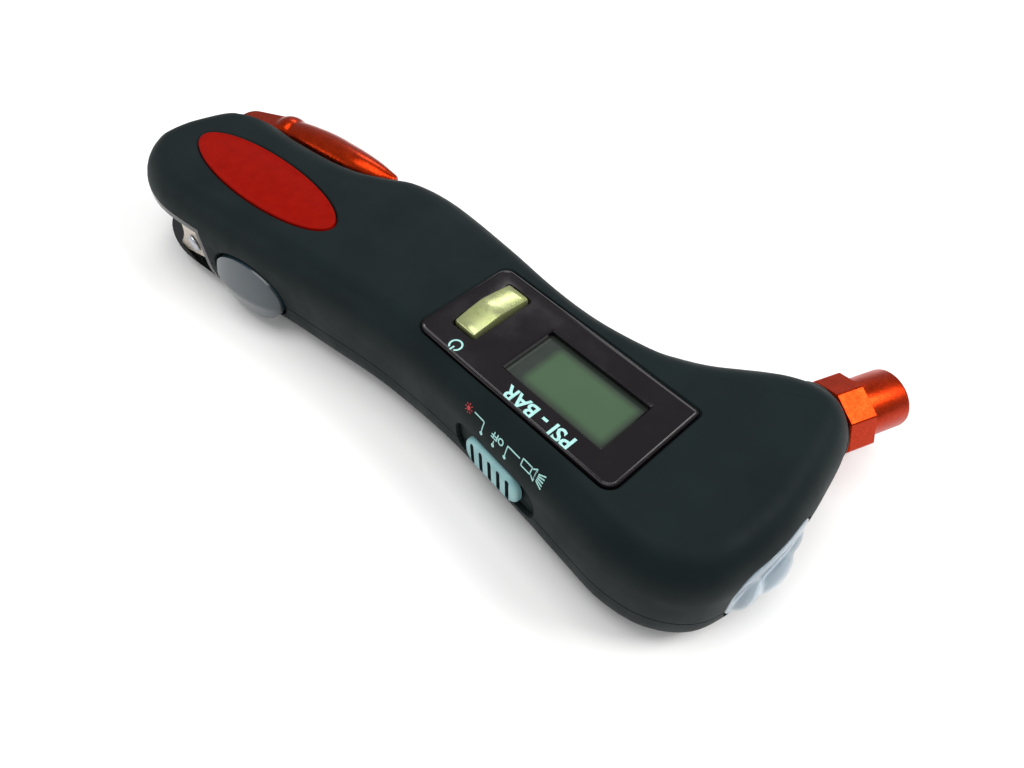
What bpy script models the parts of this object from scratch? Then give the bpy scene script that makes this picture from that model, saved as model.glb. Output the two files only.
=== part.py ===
"""Digital tire pressure gauge with torch, warning light, belt cutter and swing-out driver arm.

The gauge lies on its back: +Z up, +X towards the torch end, +Y towards the air nozzle.
Lengths below are in millimetres; the helpers turn them into metres.  Every point is given
from the centre of the display, on the resting plane, and the empty "gauge" carries the whole
assembly so that the origin ends up under the middle of its bounding box.
"""
import math

import bmesh
import bpy
import numpy as np
from mathutils import Matrix, Vector

MM = 0.001
MERGE = 0.00001
GAP = 0.3                       # air left between two pieces that touch

# --- driving dimensions -------------------------------------------------------------------
FRAME_SHIFT = (39.0, -11.74)     # display centre, from the middle of the bounding box
THICKNESS = 24.0
PARTING = 9.5                  # height of the joint between the casing halves
WALL = 2.0
TOP_FUSE = PARTING + GAP / 2 + 0.05  # where what is fused into each half stops short of its rim
LOW_FUSE = PARTING - GAP / 2 - 0.05
EDGE_IN = 6.0                   # rounded edge: how far it reaches in, in plan
EDGE_UP = 8.0                   # and how much of the height it takes
OUTLINE_STEPS = 2               # curve pieces between two outline points
PLAN_NEAR = [                   # casing outline from the handle end along -Y to the far side
    (-119.3, -10.4), (-118.2, -17.5), (-112.0, -23.6), (-102.0, -26.4), (-90.5, -25.6),
    (-77.0, -22.9), (-64.0, -20.2), (-51.3, -18.1), (-39.3, -16.1), (-27.4, -15.1),
    (-16.0, -14.8), (-5.0, -15.4), (5.0, -16.0), (14.0, -16.7), (22.6, -17.1),
    (30.4, -15.2), (36.4, -10.2), (38.8, -2.5), (39.3, 5.0), (38.6, 13.0), (37.5, 19.5),
    (36.2, 25.4), (34.2, 30.0), (30.2, 33.2), (25.4, 33.4), (20.8, 31.7), (17.0, 29.2),
    (13.4, 26.3), (9.6, 23.3), (5.2, 20.8), (0.6, 19.0), (-9.7, 17.3), (-21.0, 17.3),
    (-33.9, 18.5), (-47.6, 19.4), (-55.0, 19.3), (-61.0, 18.4),
]
PLAN_LOW = PLAN_NEAR + [        # the lower half carries on under the arm as a shelf
    (-68.0, 17.0), (-75.0, 16.1), (-83.0, 15.2), (-91.0, 14.2), (-99.0, 12.8),
    (-106.0, 10.4), (-111.8, 7.2), (-115.6, 2.9), (-118.0, -3.0),
]
PLAN_TOP = PLAN_NEAR + [        # the upper half draws in along the arm
    (-65.4, 16.9), (-70.3, 13.7), (-75.2, 11.2), (-80.6, 9.5), (-86.0, 8.5), (-91.2, 7.8),
    (-97.0, 7.2), (-103.0, 7.1), (-108.2, 6.5), (-112.6, 4.5), (-115.9, 1.1),
    (-117.9, -3.8),
]

PANEL = dict(x0=-29.5, x1=16.7, y0=-10.5, y1=11.1, bottom=23.05, top=24.25, corner=2.2)
LCD = dict(x0=-12.5, x1=10.8, y0=-6.0, y1=6.5)
BOARD_TOP = 17.5
BOARD_THICK = 1.3

POWER_AT = (-22.7, 1.4)
POWER_SIZE = (5.2, 13.2)

SLIDER_AT = (-4.0, -15.5, 11.5)
SLIDER_TURN = -3.1              # degrees, the wall's direction there
SLIDER_TRAVEL = 3.0             # each way from OFF
SLIDER_SIZE = (14.0, 7.0)

RELEASE_AT = (-73.6, -22.2, 9.8)
RELEASE_TURN = 11.0
RELEASE_SIZE = (20.0, 12.6)

BEACON_AT = (-84.7, -8.1)
BEACON_TURN = 3.5
BEACON_SIZE = (46.2, 13.3)

TORCH_AT = (39.2, 3.0, 11.2)
TORCH_WINDOW = (-5.8, 13.6, 5.0, 19.2)

NOZZLE_AT = (28.4, 34.1, 12.0)  # middle of the casing boss's end face
NOZZLE_TURN = 69.0
NOZZLE_RADIUS = 5.5
OCTAGON_FLATS = 13.6
OCTAGON_LENGTH = 6.1
NOZZLE_LENGTH = 14.8
VALVE_BORE = 4.2

PIVOT_AT = (-112.2, 4.4)
ARM_Z = 16.6
ARM_PATH = [                    # axis of the arm with its radius, from the ball to the tip
    (-104.6, 9.5, 3.9), (-99.5, 10.6, 4.4), (-93.0, 12.0, 4.6), (-87.0, 12.9, 4.5),
    (-81.5, 13.9, 4.1), (-77.0, 15.4, 3.0), (-73.3, 17.2, 1.2),
]
SHELF_TOP = 11.3
ARM_ROOM = 0.4                  # air between the closed arm and the casing

CUTTER_SLOT = dict(x0=-128.0, x1=-86.2, y0=-32.0, y1=-17.6, z0=2.8, z1=18.4)
LINER_WALL = 1.2
BLADE_TIP = -103.4
BLADE_HEEL = -96.6

CELL_RADIUS = 5.8
CELL_LENGTH = 5.4
CELL_AT = (-51.3, 1.0, 7.7)
CELL_BAY = dict(x0=-57.3, x1=-35.7, y0=-5.4, y1=7.4, top=13.9)
COVER = dict(x0=-60.0, x1=-27.0, y0=-6.6, y1=8.6, thick=1.6, corner=2.0)
COVER_SCREW_AT = (-30.6, 1.0)
CASE_SCREWS = [(-107.0, -6.5), (-64.0, 10.0), (23.0, -11.2), (14.5, 19.0)]

PAINTS = {                      # name: sRGB colour, metallic, roughness
    "casing_black": ("22282B", 0.0, 0.6), "gloss_black": ("17161A", 0.0, 0.12),
    "liner_black": ("101214", 0.0, 0.2), "lcd_glass": ("4A5F4A", 0.0, 0.15),
    "board_green": ("1F5A34", 0.0, 0.5), "white_plastic": ("D8D8D0", 0.0, 0.5),
    "button_gold": ("C9CFA0", 1.0, 0.2), "slider_teal": ("4F8383", 0.0, 0.5),
    "release_blue": ("5A6C80", 0.0, 0.3), "orange_anodised": ("C8380C", 1.0, 0.3),
    "red_lens": ("9C1600", 0.0, 0.3), "clear_lens": ("C5D5E0", 0.0, 0.05),
    "steel": ("B4AEA6", 1.0, 0.35), "chrome": ("D8D8DC", 1.0, 0.08),
    "brass": ("C9A34A", 1.0, 0.3), "rubber": ("1B1B1C", 0.0, 0.8),
    "silicone": ("C8C4BA", 0.0, 0.6), "part_black": ("1E1F22", 0.0, 0.4),
    "wire_red": ("B01818", 0.0, 0.4), "wire_black": ("151515", 0.0, 0.4),
}


# --- scene, materials and objects ---------------------------------------------------------
def clear_scene():
    for obj in list(bpy.data.objects):
        bpy.data.objects.remove(obj, do_unlink=True)


def collection(name):
    made = bpy.data.collections.new(name)
    bpy.context.scene.collection.children.link(made)
    return made


def linear(hex_colour):
    channels = [int(hex_colour[i:i + 2], 16) / 255 for i in (0, 2, 4)]
    return [c / 12.92 if c <= 0.04045 else ((c + 0.055) / 1.055) ** 2.4 for c in channels]


def paint(name):
    if name in bpy.data.materials:
        return bpy.data.materials[name]
    colour, metallic, roughness = PAINTS[name]
    material = bpy.data.materials.new(name)
    material.use_nodes = True
    shader = material.node_tree.nodes["Principled BSDF"]
    shader.inputs["Base Color"].default_value = (*linear(colour), 1.0)
    shader.inputs["Metallic"].default_value = metallic
    shader.inputs["Roughness"].default_value = roughness
    return material


def place(name, mesh, at=(0, 0, 0), turn=None):
    """Make the object that shows a mesh, `at` in millimetres, on the gauge's empty."""
    obj = bpy.data.objects.new(name, mesh)
    obj.location = Vector(at) * MM
    if turn is not None:
        obj.rotation_euler = turn
    obj.parent = GAUGE
    TOOLS.objects.link(obj)
    obj.hide_render = True
    obj.display_type = "WIRE"
    return obj


def finish(obj, material, pivot=None, smooth=True):
    """Turn a working object into a piece of the gauge."""
    TOOLS.objects.unlink(obj)
    PIECES.objects.link(obj)
    obj.hide_render = False
    obj.display_type = "TEXTURED"
    obj.data.materials.clear()
    obj.data.materials.append(paint(material))
    if smooth:
        obj.data.shade_smooth()
        obj.data.set_sharp_from_angle(angle=math.radians(35))
    if pivot is not None:
        obj.parent = pivot
        obj.matrix_parent_inverse = pivot.matrix_local.inverted()
    return obj


def pivot(name, at, turn_z=0.0):
    empty = bpy.data.objects.new(name, None)
    empty.empty_display_size = 5 * MM
    empty.parent = GAUGE
    empty.location = Vector(at) * MM
    empty.rotation_euler.z = math.radians(turn_z)
    PIECES.objects.link(empty)
    bpy.context.view_layer.update()
    return empty


def mesh_from(name, build):
    """Fill a new mesh with bmesh, in millimetres, and give it in metres, faces outward."""
    shape = bmesh.new()
    build(shape)
    bmesh.ops.scale(shape, vec=(MM, MM, MM), verts=shape.verts)
    bmesh.ops.recalc_face_normals(shape, faces=shape.faces)
    mesh = bpy.data.meshes.new(name)
    shape.to_mesh(mesh)
    shape.free()
    return mesh


# --- shapes -------------------------------------------------------------------------------
def box(name, x, y, z, at=(0, 0, 0), turn=None):
    """A block between two limits on each axis."""
    def build(shape):
        bmesh.ops.create_cube(shape, size=1.0)
        size = (x[1] - x[0], y[1] - y[0], z[1] - z[0])
        middle = ((x[0] + x[1]) / 2, (y[0] + y[1]) / 2, (z[0] + z[1]) / 2)
        bmesh.ops.scale(shape, vec=size, verts=shape.verts)
        bmesh.ops.translate(shape, vec=middle, verts=shape.verts)
    return place(name, mesh_from(name, build), at, turn)


def cylinder(name, radius, low, high, at=(0, 0, 0), turn=None, sides=32):
    def build(shape):
        bmesh.ops.create_cone(shape, cap_ends=True, segments=sides, radius1=radius,
                              radius2=radius, depth=high - low)
        bmesh.ops.translate(shape, vec=(0, 0, (low + high) / 2), verts=shape.verts)
    return place(name, mesh_from(name, build), at, turn)


def ellipsoid(name, radii, at, columns=20, rows=10):
    def build(shape):
        bmesh.ops.create_uvsphere(shape, u_segments=columns, v_segments=rows, radius=1.0)
        bmesh.ops.scale(shape, vec=radii, verts=shape.verts)
    return place(name, mesh_from(name, build), at)


def turned(name, profile, at=(0, 0, 0), turn=None, steps=32):
    """A shape of revolution about Z; the profile runs down its outer side, radius then height."""
    mesh = bpy.data.meshes.new(name)
    points = [(radius * MM, 0.0, height * MM) for radius, height in profile]
    closed = profile[0][0] > 0 and profile[-1][0] > 0
    edges = [(i, i + 1) for i in range(len(points) - 1)]
    if closed:
        edges.append((len(points) - 1, 0))
    mesh.from_pydata(points, edges, [])
    obj = place(name, mesh, at, turn)
    screw = obj.modifiers.new("turn", "SCREW")
    screw.steps = steps
    screw.render_steps = steps
    screw.use_merge_vertices = True
    screw.merge_threshold = MERGE
    return obj


def curve_mesh(name, curve):
    """The welded mesh of a curve, so that it can be cut and joined."""
    source = bpy.data.objects.new(name + "_curve", curve)
    TOOLS.objects.link(source)
    graph = bpy.context.evaluated_depsgraph_get()
    mesh = bpy.data.meshes.new_from_object(source.evaluated_get(graph))
    shape = bmesh.new()
    shape.from_mesh(mesh)
    bmesh.ops.remove_doubles(shape, verts=shape.verts, dist=MERGE)
    bmesh.ops.recalc_face_normals(shape, faces=shape.faces)
    shape.to_mesh(mesh)
    shape.free()
    bpy.data.objects.remove(source)
    mesh.name = name
    return mesh


def plate(name, outlines, low, high, at=(0, 0, 0), turn=None):
    """A flat piece with a closed outline, and with holes where more outlines are given."""
    curve = bpy.data.curves.new(name, "CURVE")
    curve.dimensions = "2D"
    curve.fill_mode = "BOTH"
    curve.extrude = (high - low) / 2 * MM
    for outline in outlines:
        spline = curve.splines.new("POLY")
        spline.points.add(len(outline) - 1)
        for point, (x, y) in zip(spline.points, outline):
            point.co = (x * MM, y * MM, 0.0, 1.0)
        spline.use_cyclic_u = True
    mesh = curve_mesh(name, curve)
    mesh.transform(Matrix.Translation((0, 0, (low + high) / 2 * MM)))
    return place(name, mesh, at, turn)


def tube(name, route, radius, radii=None, caps=True, resolution=2):
    """A round bar or wire along a smooth route of points."""
    curve = bpy.data.curves.new(name, "CURVE")
    curve.dimensions = "3D"
    curve.bevel_depth = radius * MM
    curve.bevel_resolution = resolution
    curve.use_fill_caps = caps
    spline = curve.splines.new("POLY")
    spline.points.add(len(route) - 1)
    for i, (point, where) in enumerate(zip(spline.points, route)):
        point.co = (*(Vector(where) * MM), 1.0)
        if radii is not None:
            point.radius = radii[i]
    return place(name, curve_mesh(name, curve))


def loft(name, rings, at=(0, 0, 0), turn=None):
    """A closed solid through rings that have the same number of points."""
    def build(shape):
        rows = [[shape.verts.new(point) for point in ring] for ring in rings]
        count = len(rows[0])
        for low, high in zip(rows, rows[1:]):
            for i in range(count):
                j = (i + 1) % count
                shape.faces.new((low[i], low[j], high[j], high[i]))
        shape.faces.new(rows[0][::-1])
        shape.faces.new(rows[-1])
    return place(name, mesh_from(name, build), at, turn)


def boolean(target, other, how):
    step = target.modifiers.new(other.name, "BOOLEAN")
    step.operation = how
    step.object = other
    return target


def cut(target, *others):
    for other in others:
        boolean(target, other, "DIFFERENCE")
    return target


def add(target, *others):
    for other in others:
        boolean(target, other, "UNION")
    return target


def smooth_path(points, steps, closed=False):
    """Points on a Catmull-Rom curve through the given points."""
    points = np.array(points, dtype=float)
    count = len(points)
    pieces = count if closed else count - 1
    path = []
    for i in range(pieces):
        if closed:
            a, b, c, d = (points[(i + k - 1) % count] for k in range(4))
        else:
            a, b, c, d = (points[min(max(i + k - 1, 0), count - 1)] for k in range(4))
        for t in np.arange(steps) / steps:
            path.append(0.5 * (2 * b + (c - a) * t + (2 * a - 5 * b + 4 * c - d) * t ** 2
                               + (3 * b - a - 3 * c + d) * t ** 3))
    if not closed:
        path.append(points[-1])
    return np.array(path)


def rounded_rectangle(x0, x1, y0, y1, radius, steps=5, first=None):
    """Outline of a rectangle with round corners; `first` is the radius at +X +Y."""
    outline = []
    for number, (sx, sy) in enumerate([(1, 1), (-1, 1), (-1, -1), (1, -1)]):
        r = first if first is not None and number == 0 else radius
        cx = x1 - r if sx > 0 else x0 + r
        cy = y1 - r if sy > 0 else y0 + r
        for k in range(steps + 1):
            angle = math.radians(90 * number + 90 * k / steps)
            outline.append((cx + r * math.cos(angle), cy + r * math.sin(angle)))
    return outline


def oval(length, width, sides=48):
    return [(length / 2 * math.cos(2 * math.pi * k / sides),
             width / 2 * math.sin(2 * math.pi * k / sides)) for k in range(sides)]


def turn_z(degrees):
    return (0.0, 0.0, math.radians(degrees))


def facing(degrees):
    """Rotation that points a shape's +Z along a level direction."""
    return (0.0, math.radians(90), math.radians(degrees))


# --- casing -------------------------------------------------------------------------------
def casing_ring(plan, inset, height):
    """A casing outline moved inward, at a height."""
    path = smooth_path(plan, OUTLINE_STEPS, closed=True)
    along = np.roll(path, -1, axis=0) - np.roll(path, 1, axis=0)
    along /= np.linalg.norm(along, axis=1)[:, None]
    inward = np.column_stack([-along[:, 1], along[:, 0]])
    moved = path + inward * inset
    return [(x, y, height) for x, y in moved]


def edge_rings(plan, margin, top, steps=3):
    """Rings from mid-height up or down over a rounded edge, `margin` inside the surface."""
    reach, rise = EDGE_IN - margin, EDGE_UP - margin
    rings = []
    for k in range(steps + 1):
        angle = math.pi / 2 * k / steps
        lift = rise * math.sin(angle)
        height = THICKNESS - EDGE_UP + lift if top else EDGE_UP - lift
        rings.append(casing_ring(plan, margin + reach * (1 - math.cos(angle)), height))
    return rings


def casing_shell(name, top):
    """One half of the hollow casing, open at the parting plane."""
    plan = PLAN_TOP if top else PLAN_LOW
    rim = PARTING + GAP / 2 if top else PARTING - GAP / 2
    outside = edge_rings(plan, 0.0, top)[::-1] + [casing_ring(plan, 0.0, rim)]
    inside = [casing_ring(plan, WALL, rim)] + edge_rings(plan, WALL, top)
    return loft(name, outside + inside)


def casing_solid(name, plan, margin=0.0):
    """The whole casing as one block, `margin` inside its surface."""
    return loft(name, edge_rings(plan, margin, False)[::-1] + edge_rings(plan, margin, True))


def clipped(obj, name, margin, plan=PLAN_LOW):
    """Keep only what lies inside the casing's surface."""
    return boolean(obj, casing_solid(name + "_limit", plan, margin), "INTERSECT")


def neck(name, low_half):
    """The round boss at the nozzle, cut at the parting plane."""
    profile = [(0.0, 0.0), (7.4, 0.0), (8.0, -0.6), (8.6, -5.0), (9.4, -9.0), (9.4, -10.5),
               (0.0, -10.5)]
    body = turned(name, profile, NOZZLE_AT, facing(NOZZLE_TURN), steps=28)
    limit = (-20, LOW_FUSE) if low_half else (TOP_FUSE, 40)
    half = box(name + "_half", (10, 50), (10, 50), limit)
    return boolean(body, half, "INTERSECT")


def nozzle_bore(name):
    """The passage for the nozzle's shank, with the groove for its collar."""
    profile = [(4.9, 2.0), (4.9, -6.9), (7.1, -6.9), (7.1, -9.6), (4.9, -9.6), (4.9, -14.0)]
    profile = [(0.0, 2.0)] + profile + [(0.0, -14.0)]
    return turned(name, profile, NOZZLE_AT, facing(NOZZLE_TURN), steps=24)


def torch_prism(name, margin):
    y0, y1, z0, z1 = TORCH_WINDOW
    outline = rounded_rectangle(y0 + margin, y1 - margin, z0 + margin, z1 - margin, 4.5)
    swung = plate(name, [outline], 30.0, 46.0)
    swung.rotation_euler = (math.radians(90), 0.0, math.radians(90))
    return swung


def slider_frame():
    return SLIDER_AT, turn_z(SLIDER_TURN)


def slider_cutters(name):
    at, turn = slider_frame()
    length, height = SLIDER_SIZE
    reach = length / 2 + SLIDER_TRAVEL + 0.4
    wide = rounded_rectangle(-reach, reach, -height / 2 - 0.4, height / 2 + 0.4, 3.0)
    recess = plate(name + "_recess", [wide], -4.0, 1.0, at, (math.radians(90), 0, turn[2]))
    recess.data.transform(Matrix.Translation((0, 0, 3.0 * MM)))
    slot = box(name + "_slot", (-6.2, 6.2), (-1.0, 6.0), (-2.1, 2.1), at, turn)
    return recess, slot


def release_hole(name):
    length, height = RELEASE_SIZE
    return plate(name, [oval(length + 0.8, height + 0.8)], -4.0, 6.0, RELEASE_AT,
                 (math.radians(90), 0, math.radians(RELEASE_TURN)))


def belt_slot(name):
    slot = CUTTER_SLOT
    return box(name, (slot["x0"], slot["x1"]), (slot["y0"], slot["y1"]),
               (slot["z0"], slot["z1"]))


def arm_swing_cutter(name):
    """Room for the arm's eye and tongue, outward from the pivot over the whole swing."""
    px, py = PIVOT_AT
    back = [(px + 4.2 * math.cos(math.radians(a)), py + 4.2 * math.sin(math.radians(a)))
            for a in range(226, 319, 13)]
    outline = back + [(px + 12, py + 1.0), (px + 12, py + 20), (px - 14, py + 20),
                      (px - 14, py + 4.0)]
    return plate(name, [outline], SHELF_TOP, 30.0)


def arm_clearance(name):
    """The closed arm's outer shape with air around it."""
    path = smooth_path(ARM_PATH, 2)
    route = [(x, y, ARM_Z) for x, y, _ in path]
    body = tube(name, route, 1.0, radii=[r + ARM_ROOM for _, _, r in path], resolution=3)
    x, y, _ = ARM_PATH[0]
    ball = ellipsoid(name + "_ball", (5.0, 5.0, 5.0), (x, y, ARM_Z))
    return add(body, ball)


def screw_boss_top(index, x, y):
    boss = cylinder(f"boss_top_{index}", 3.0, TOP_FUSE, THICKNESS - 1.0, (x, y, 0), sides=16)
    return clipped(boss, boss.name, 1.0, PLAN_TOP)


def top_casing():
    shell = casing_shell("top_casing", top=True)
    eye = cylinder("eye_block", 5.9, TOP_FUSE, THICKNESS, (*PIVOT_AT, 0), sides=24)
    pad = ellipsoid("ball_block", (6.6, 6.6, 6.6), (*ARM_PATH[0][:2], ARM_Z))
    add(shell, clipped(eye, "eye", 0.05, PLAN_TOP), clipped(pad, "pad", 0.05, PLAN_TOP))
    add(shell, neck("neck_top", low_half=False))
    for index, (x, y) in enumerate(CASE_SCREWS):
        add(shell, screw_boss_top(index, x, y))
        cut(shell, cylinder(f"pilot_{index}", 1.45, PARTING - 2, PARTING + 6, (x, y, 0),
                            sides=16))
    for index, where in enumerate([(-100.8, -9.2), (-70.3, -7.0)]):
        add(shell, cylinder(f"beacon_post_{index}", 1.4, 18.5, 22.5, (*where, 0), sides=12))
    panel = PANEL
    pocket = rounded_rectangle(panel["x0"] - GAP, panel["x1"] + GAP, panel["y0"] - GAP,
                               panel["y1"] + GAP, panel["corner"] + GAP, first=1.1)
    cut(shell, plate("panel_pocket", [pocket], panel["bottom"] - GAP, 30.0))
    cut(shell, box("lcd_hole", (-15.0, 13.2), (-8.1, 8.6), (18.0, 24.0)))
    x, y = POWER_AT
    cut(shell, box("power_hole", (x - 3.4, x + 3.4), (y - 7.3, y + 7.3), (18.0, 24.0)))
    length, width = BEACON_SIZE
    turn = turn_z(BEACON_TURN)
    cut(shell, plate("beacon_pocket", [oval(length + 0.6, width + 0.6)], 22.75, 30.0,
                     (*BEACON_AT, 0), turn))
    cut(shell, plate("beacon_hole", [oval(length - 3.4, width - 3.4)], 18.0, 24.0,
                     (*BEACON_AT, 0), turn))
    cut(shell, *slider_cutters("slider_top"), torch_prism("torch_hole_top", 0.0))
    cut(shell, nozzle_bore("bore_top"), belt_slot("belt_slot_top"))
    cut(shell, release_hole("release_hole_top"))
    cut(shell, arm_clearance("arm_room"), arm_swing_cutter("swing_cut"))
    cut(shell, cylinder("shelf_gap", 4.2, 0.0, SHELF_TOP + 1.0, (*PIVOT_AT, 0), sides=24))
    return finish(shell, "casing_black")


def arm_shelf():
    """The roof of the lower half where it stands out under the arm."""
    x_end = -61.0
    roof = box("arm_shelf", (-125.0, x_end), (-4.0, 30.0), (7.4, SHELF_TOP))
    clipped(roof, "shelf", 0.05)
    inside = loft("shelf_inside", [casing_ring(PLAN_TOP, -GAP, height)
                                   for height in (PARTING - GAP / 2, 20.0)])
    hollow = loft("shelf_hollow", [casing_ring(PLAN_TOP, WALL, height)
                                   for height in (5.0, 20.0)])
    return cut(roof, inside, hollow)


def bottom_casing():
    shell = casing_shell("bottom_casing", top=False)
    cover, bay = COVER, CELL_BAY
    floor = box("cover_pad", (cover["x0"] - 1.5, cover["x1"] + 1.5),
                (cover["y0"] - 1.5, cover["y1"] + 1.5), (1.0, 3.9))
    walls = box("bay_walls", (bay["x0"] - 1.5, bay["x1"] + 1.5),
                (bay["y0"] - 1.5, bay["y1"] + 1.5), (1.5, bay["top"] + 1.4))
    post = cylinder("cover_post", 3.0, 1.5, 9.0, (*COVER_SCREW_AT, 0), sides=20)
    pin_post = clipped(cylinder("pin_post", 3.6, 1.0, SHELF_TOP - 0.1, (*PIVOT_AT, 0),
                                sides=18), "pin_post", 0.3)
    add(shell, floor, walls, post, arm_shelf(), pin_post, neck("neck_low", low_half=True))
    seat = box("spring_seat", (-5.0, 5.0), (13.2, 14.8), (-9.0, -0.6), RELEASE_AT,
               turn_z(RELEASE_TURN))
    add(shell, clipped(seat, "seat", 0.6))
    for index, (x, y) in enumerate(CASE_SCREWS):
        boss = cylinder(f"boss_low_{index}", 3.4, 0.8, LOW_FUSE, (x, y, 0), sides=16)
        add(shell, boss)
        cut(shell, turned(f"screw_hole_{index}",
                          [(0.0, 20.0), (1.5, 20.0), (1.5, 4.3), (2.9, 4.3), (2.9, -1.0),
                           (0.0, -1.0)], (x, y, 0), steps=16))
    cut(shell, box("cell_bay", (bay["x0"], bay["x1"]), (bay["y0"], bay["y1"]),
                   (-1.0, bay["top"])))
    lid = rounded_rectangle(cover["x0"], cover["x1"], cover["y0"], cover["y1"],
                            cover["corner"])
    cut(shell, plate("cover_recess", [lid], -1.0, cover["thick"] + GAP))
    cut(shell, cylinder("cover_pilot", 1.3, 0.0, 7.5, (*COVER_SCREW_AT, 0), sides=16))
    cut(shell, *slider_cutters("slider_low"), torch_prism("torch_hole_low", 0.0))
    cut(shell, nozzle_bore("bore_low"), belt_slot("belt_slot_low"))
    cut(shell, release_hole("release_hole_low"))
    cut(shell, cylinder("pin_hole_low", 1.6, 3.1, 15.0, (*PIVOT_AT, 0), sides=14))
    return finish(shell, "casing_black")


def screw(name, x, y, head_top, head, shank, length):
    """A pan-head screw driven upward from below, with a cross recess."""
    head_radius, head_height = head
    profile = [(0.0, head_top + length), (shank - 0.3, head_top + length),
               (shank, head_top + length - 0.5), (shank, head_top),
               (head_radius, head_top), (head_radius, head_top - head_height * 0.7),
               (head_radius * 0.7, head_top - head_height), (0.0, head_top - head_height)]
    body = turned(name, profile, (x, y, 0), steps=12)
    low = head_top - head_height
    for index, (a, b) in enumerate([(1.5, 0.3), (0.3, 1.5)]):
        cut(body, box(f"{name}_recess_{index}", (x - a, x + a), (y - b, y + b),
                      (low - 1, low + 0.8)))
    return finish(body, "steel")


def fasteners():
    for index, (x, y) in enumerate(CASE_SCREWS, start=1):
        screw(f"casing_screw_{index}", x, y, 4.0, (2.5, 1.8), 1.15, 11.0)


# --- display, board and switches ----------------------------------------------------------
def display_panel():
    panel, lcd = PANEL, LCD
    x, y = POWER_AT
    outline = rounded_rectangle(panel["x0"], panel["x1"], panel["y0"], panel["y1"],
                                panel["corner"], first=0.8)
    body = plate("display_panel", [outline], panel["bottom"], panel["top"])
    edge = body.modifiers.new("chamfer", "BEVEL")
    edge.width = 0.35 * MM
    edge.segments = 1
    edge.limit_method = "ANGLE"
    edge.angle_limit = math.radians(60)
    cut(body, box("lcd_window", (lcd["x0"], lcd["x1"]), (lcd["y0"], lcd["y1"]), (20, 30)))
    cut(body, box("power_window", (x - 3.4, x + 3.4), (y - 7.3, y + 7.3), (20, 30)))
    return finish(body, "gloss_black")


def display_stack():
    finish(box("lcd_glass", (-14.4, 12.6), (-7.5, 8.0), (20.7, 22.7)), "lcd_glass")
    frame = box("lcd_frame", (-16.2, 14.4), (-9.2, 9.7), (BOARD_TOP + GAP, 21.0))
    cut(frame, box("lcd_frame_opening", (-14.7, 12.9), (-7.8, 8.3), (10, 30)))
    finish(frame, "part_black")
    for name, y0 in (("contact_strip_near", -7.4), ("contact_strip_far", 5.9)):
        finish(box(name, (-13.5, 11.7), (y0, y0 + 2.0), (BOARD_TOP + GAP, 20.4)), "silicone")


def circuit_board():
    outline = rounded_rectangle(-38.0, 17.5, -11.5, 12.5, 1.5, steps=3)
    board = plate("circuit_board", [outline], BOARD_TOP - BOARD_THICK, BOARD_TOP)
    finish(board, "board_green", smooth=False)
    under = BOARD_TOP - BOARD_THICK - GAP
    chip = box("controller_chip", (-10.0, -1.0), (0.0, 9.0), (under - 1.6, under))
    finish(chip, "part_black", smooth=False)
    sensor = box("pressure_sensor", (3.0, 12.5), (3.5, 11.5), (under - 4.8, under))
    port = cylinder("sensor_port", 1.3, 12.0, 15.8, (0, 7.6, under - 2.8),
                    (0, math.radians(90), 0), sides=16)
    bore = cylinder("sensor_bore", 0.6, 10.0, 18.0, (0, 7.6, under - 2.8),
                    (0, math.radians(90), 0), sides=12)
    finish(cut(add(sensor, port), bore), "white_plastic")


def power_button():
    x, y = POWER_AT
    axis = pivot("power_button_pivot", (x, y, THICKNESS))
    half_x, half_y = POWER_SIZE[0] / 2, POWER_SIZE[1] / 2
    bow = [(-half_x - 0.35 * math.cos(math.radians(a)), half_y * math.sin(math.radians(a)))
           for a in range(60, -61, -20)]
    outline = [(half_x, -half_y), (half_x, half_y), (-half_x, half_y)] + bow[1:-1] + [
        (-half_x, -half_y)]
    cap = plate("power_button", [outline], 21.3, 25.3, (x, y, 0))
    crown = cap.modifiers.new("crown", "BEVEL")
    crown.width = 0.5 * MM
    crown.segments = 2
    crown.limit_method = "ANGLE"
    crown.angle_limit = math.radians(60)
    flange = box("power_flange", (-4.6, 4.6), (-8.4, 8.4), (20.6, 21.6), (x, y, 0))
    stem = cylinder("power_stem", 1.5, 20.2, 21.0, (x, y, 0), sides=16)
    finish(add(cap, flange, stem), "button_gold", axis)
    switch = box("power_switch", (-3.0, 3.0), (-3.0, 3.0), (BOARD_TOP + GAP, 19.0), (x, y, 0))
    plunger = cylinder("switch_plunger", 1.2, 18.5, 19.3, (x, y, 0), sides=16)
    finish(add(switch, plunger), "part_black")


def mode_slider():
    at, turn = slider_frame()
    axis = pivot("mode_slider_pivot", at, SLIDER_TURN)
    length, height = SLIDER_SIZE
    face = rounded_rectangle(-length / 2, length / 2, -height / 2, height / 2, 2.6)
    knob = plate("mode_slider", [face], -0.6, 0.8, at, (math.radians(90), 0, turn[2]))
    foot = box("slider_foot", (-2.6, 2.6), (0.0, 3.4), (-1.7, 1.7), at, turn)
    keeper = box("slider_keeper", (-4.6, 4.6), (2.6, 3.6), (-2.9, 2.9), at, turn)
    finger = box("slider_finger", (-0.9, 0.9), (3.2, 6.2), (-1.0, 1.0), at, turn)
    add(knob, foot, keeper, finger)
    for index in range(5):
        middle = (index - 2) * 2.4
        cut(knob, box(f"slider_groove_{index}", (middle - 0.45, middle + 0.45), (-2.0, -0.2),
                      (-2.9, 2.9), at, turn))
    finish(knob, "slider_teal", axis)
    switch = box("mode_switch", (-6.0, 6.0), (6.5, 10.6), (-2.0, 4.4), at, turn)
    finish(switch, "steel", smooth=False)


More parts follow.
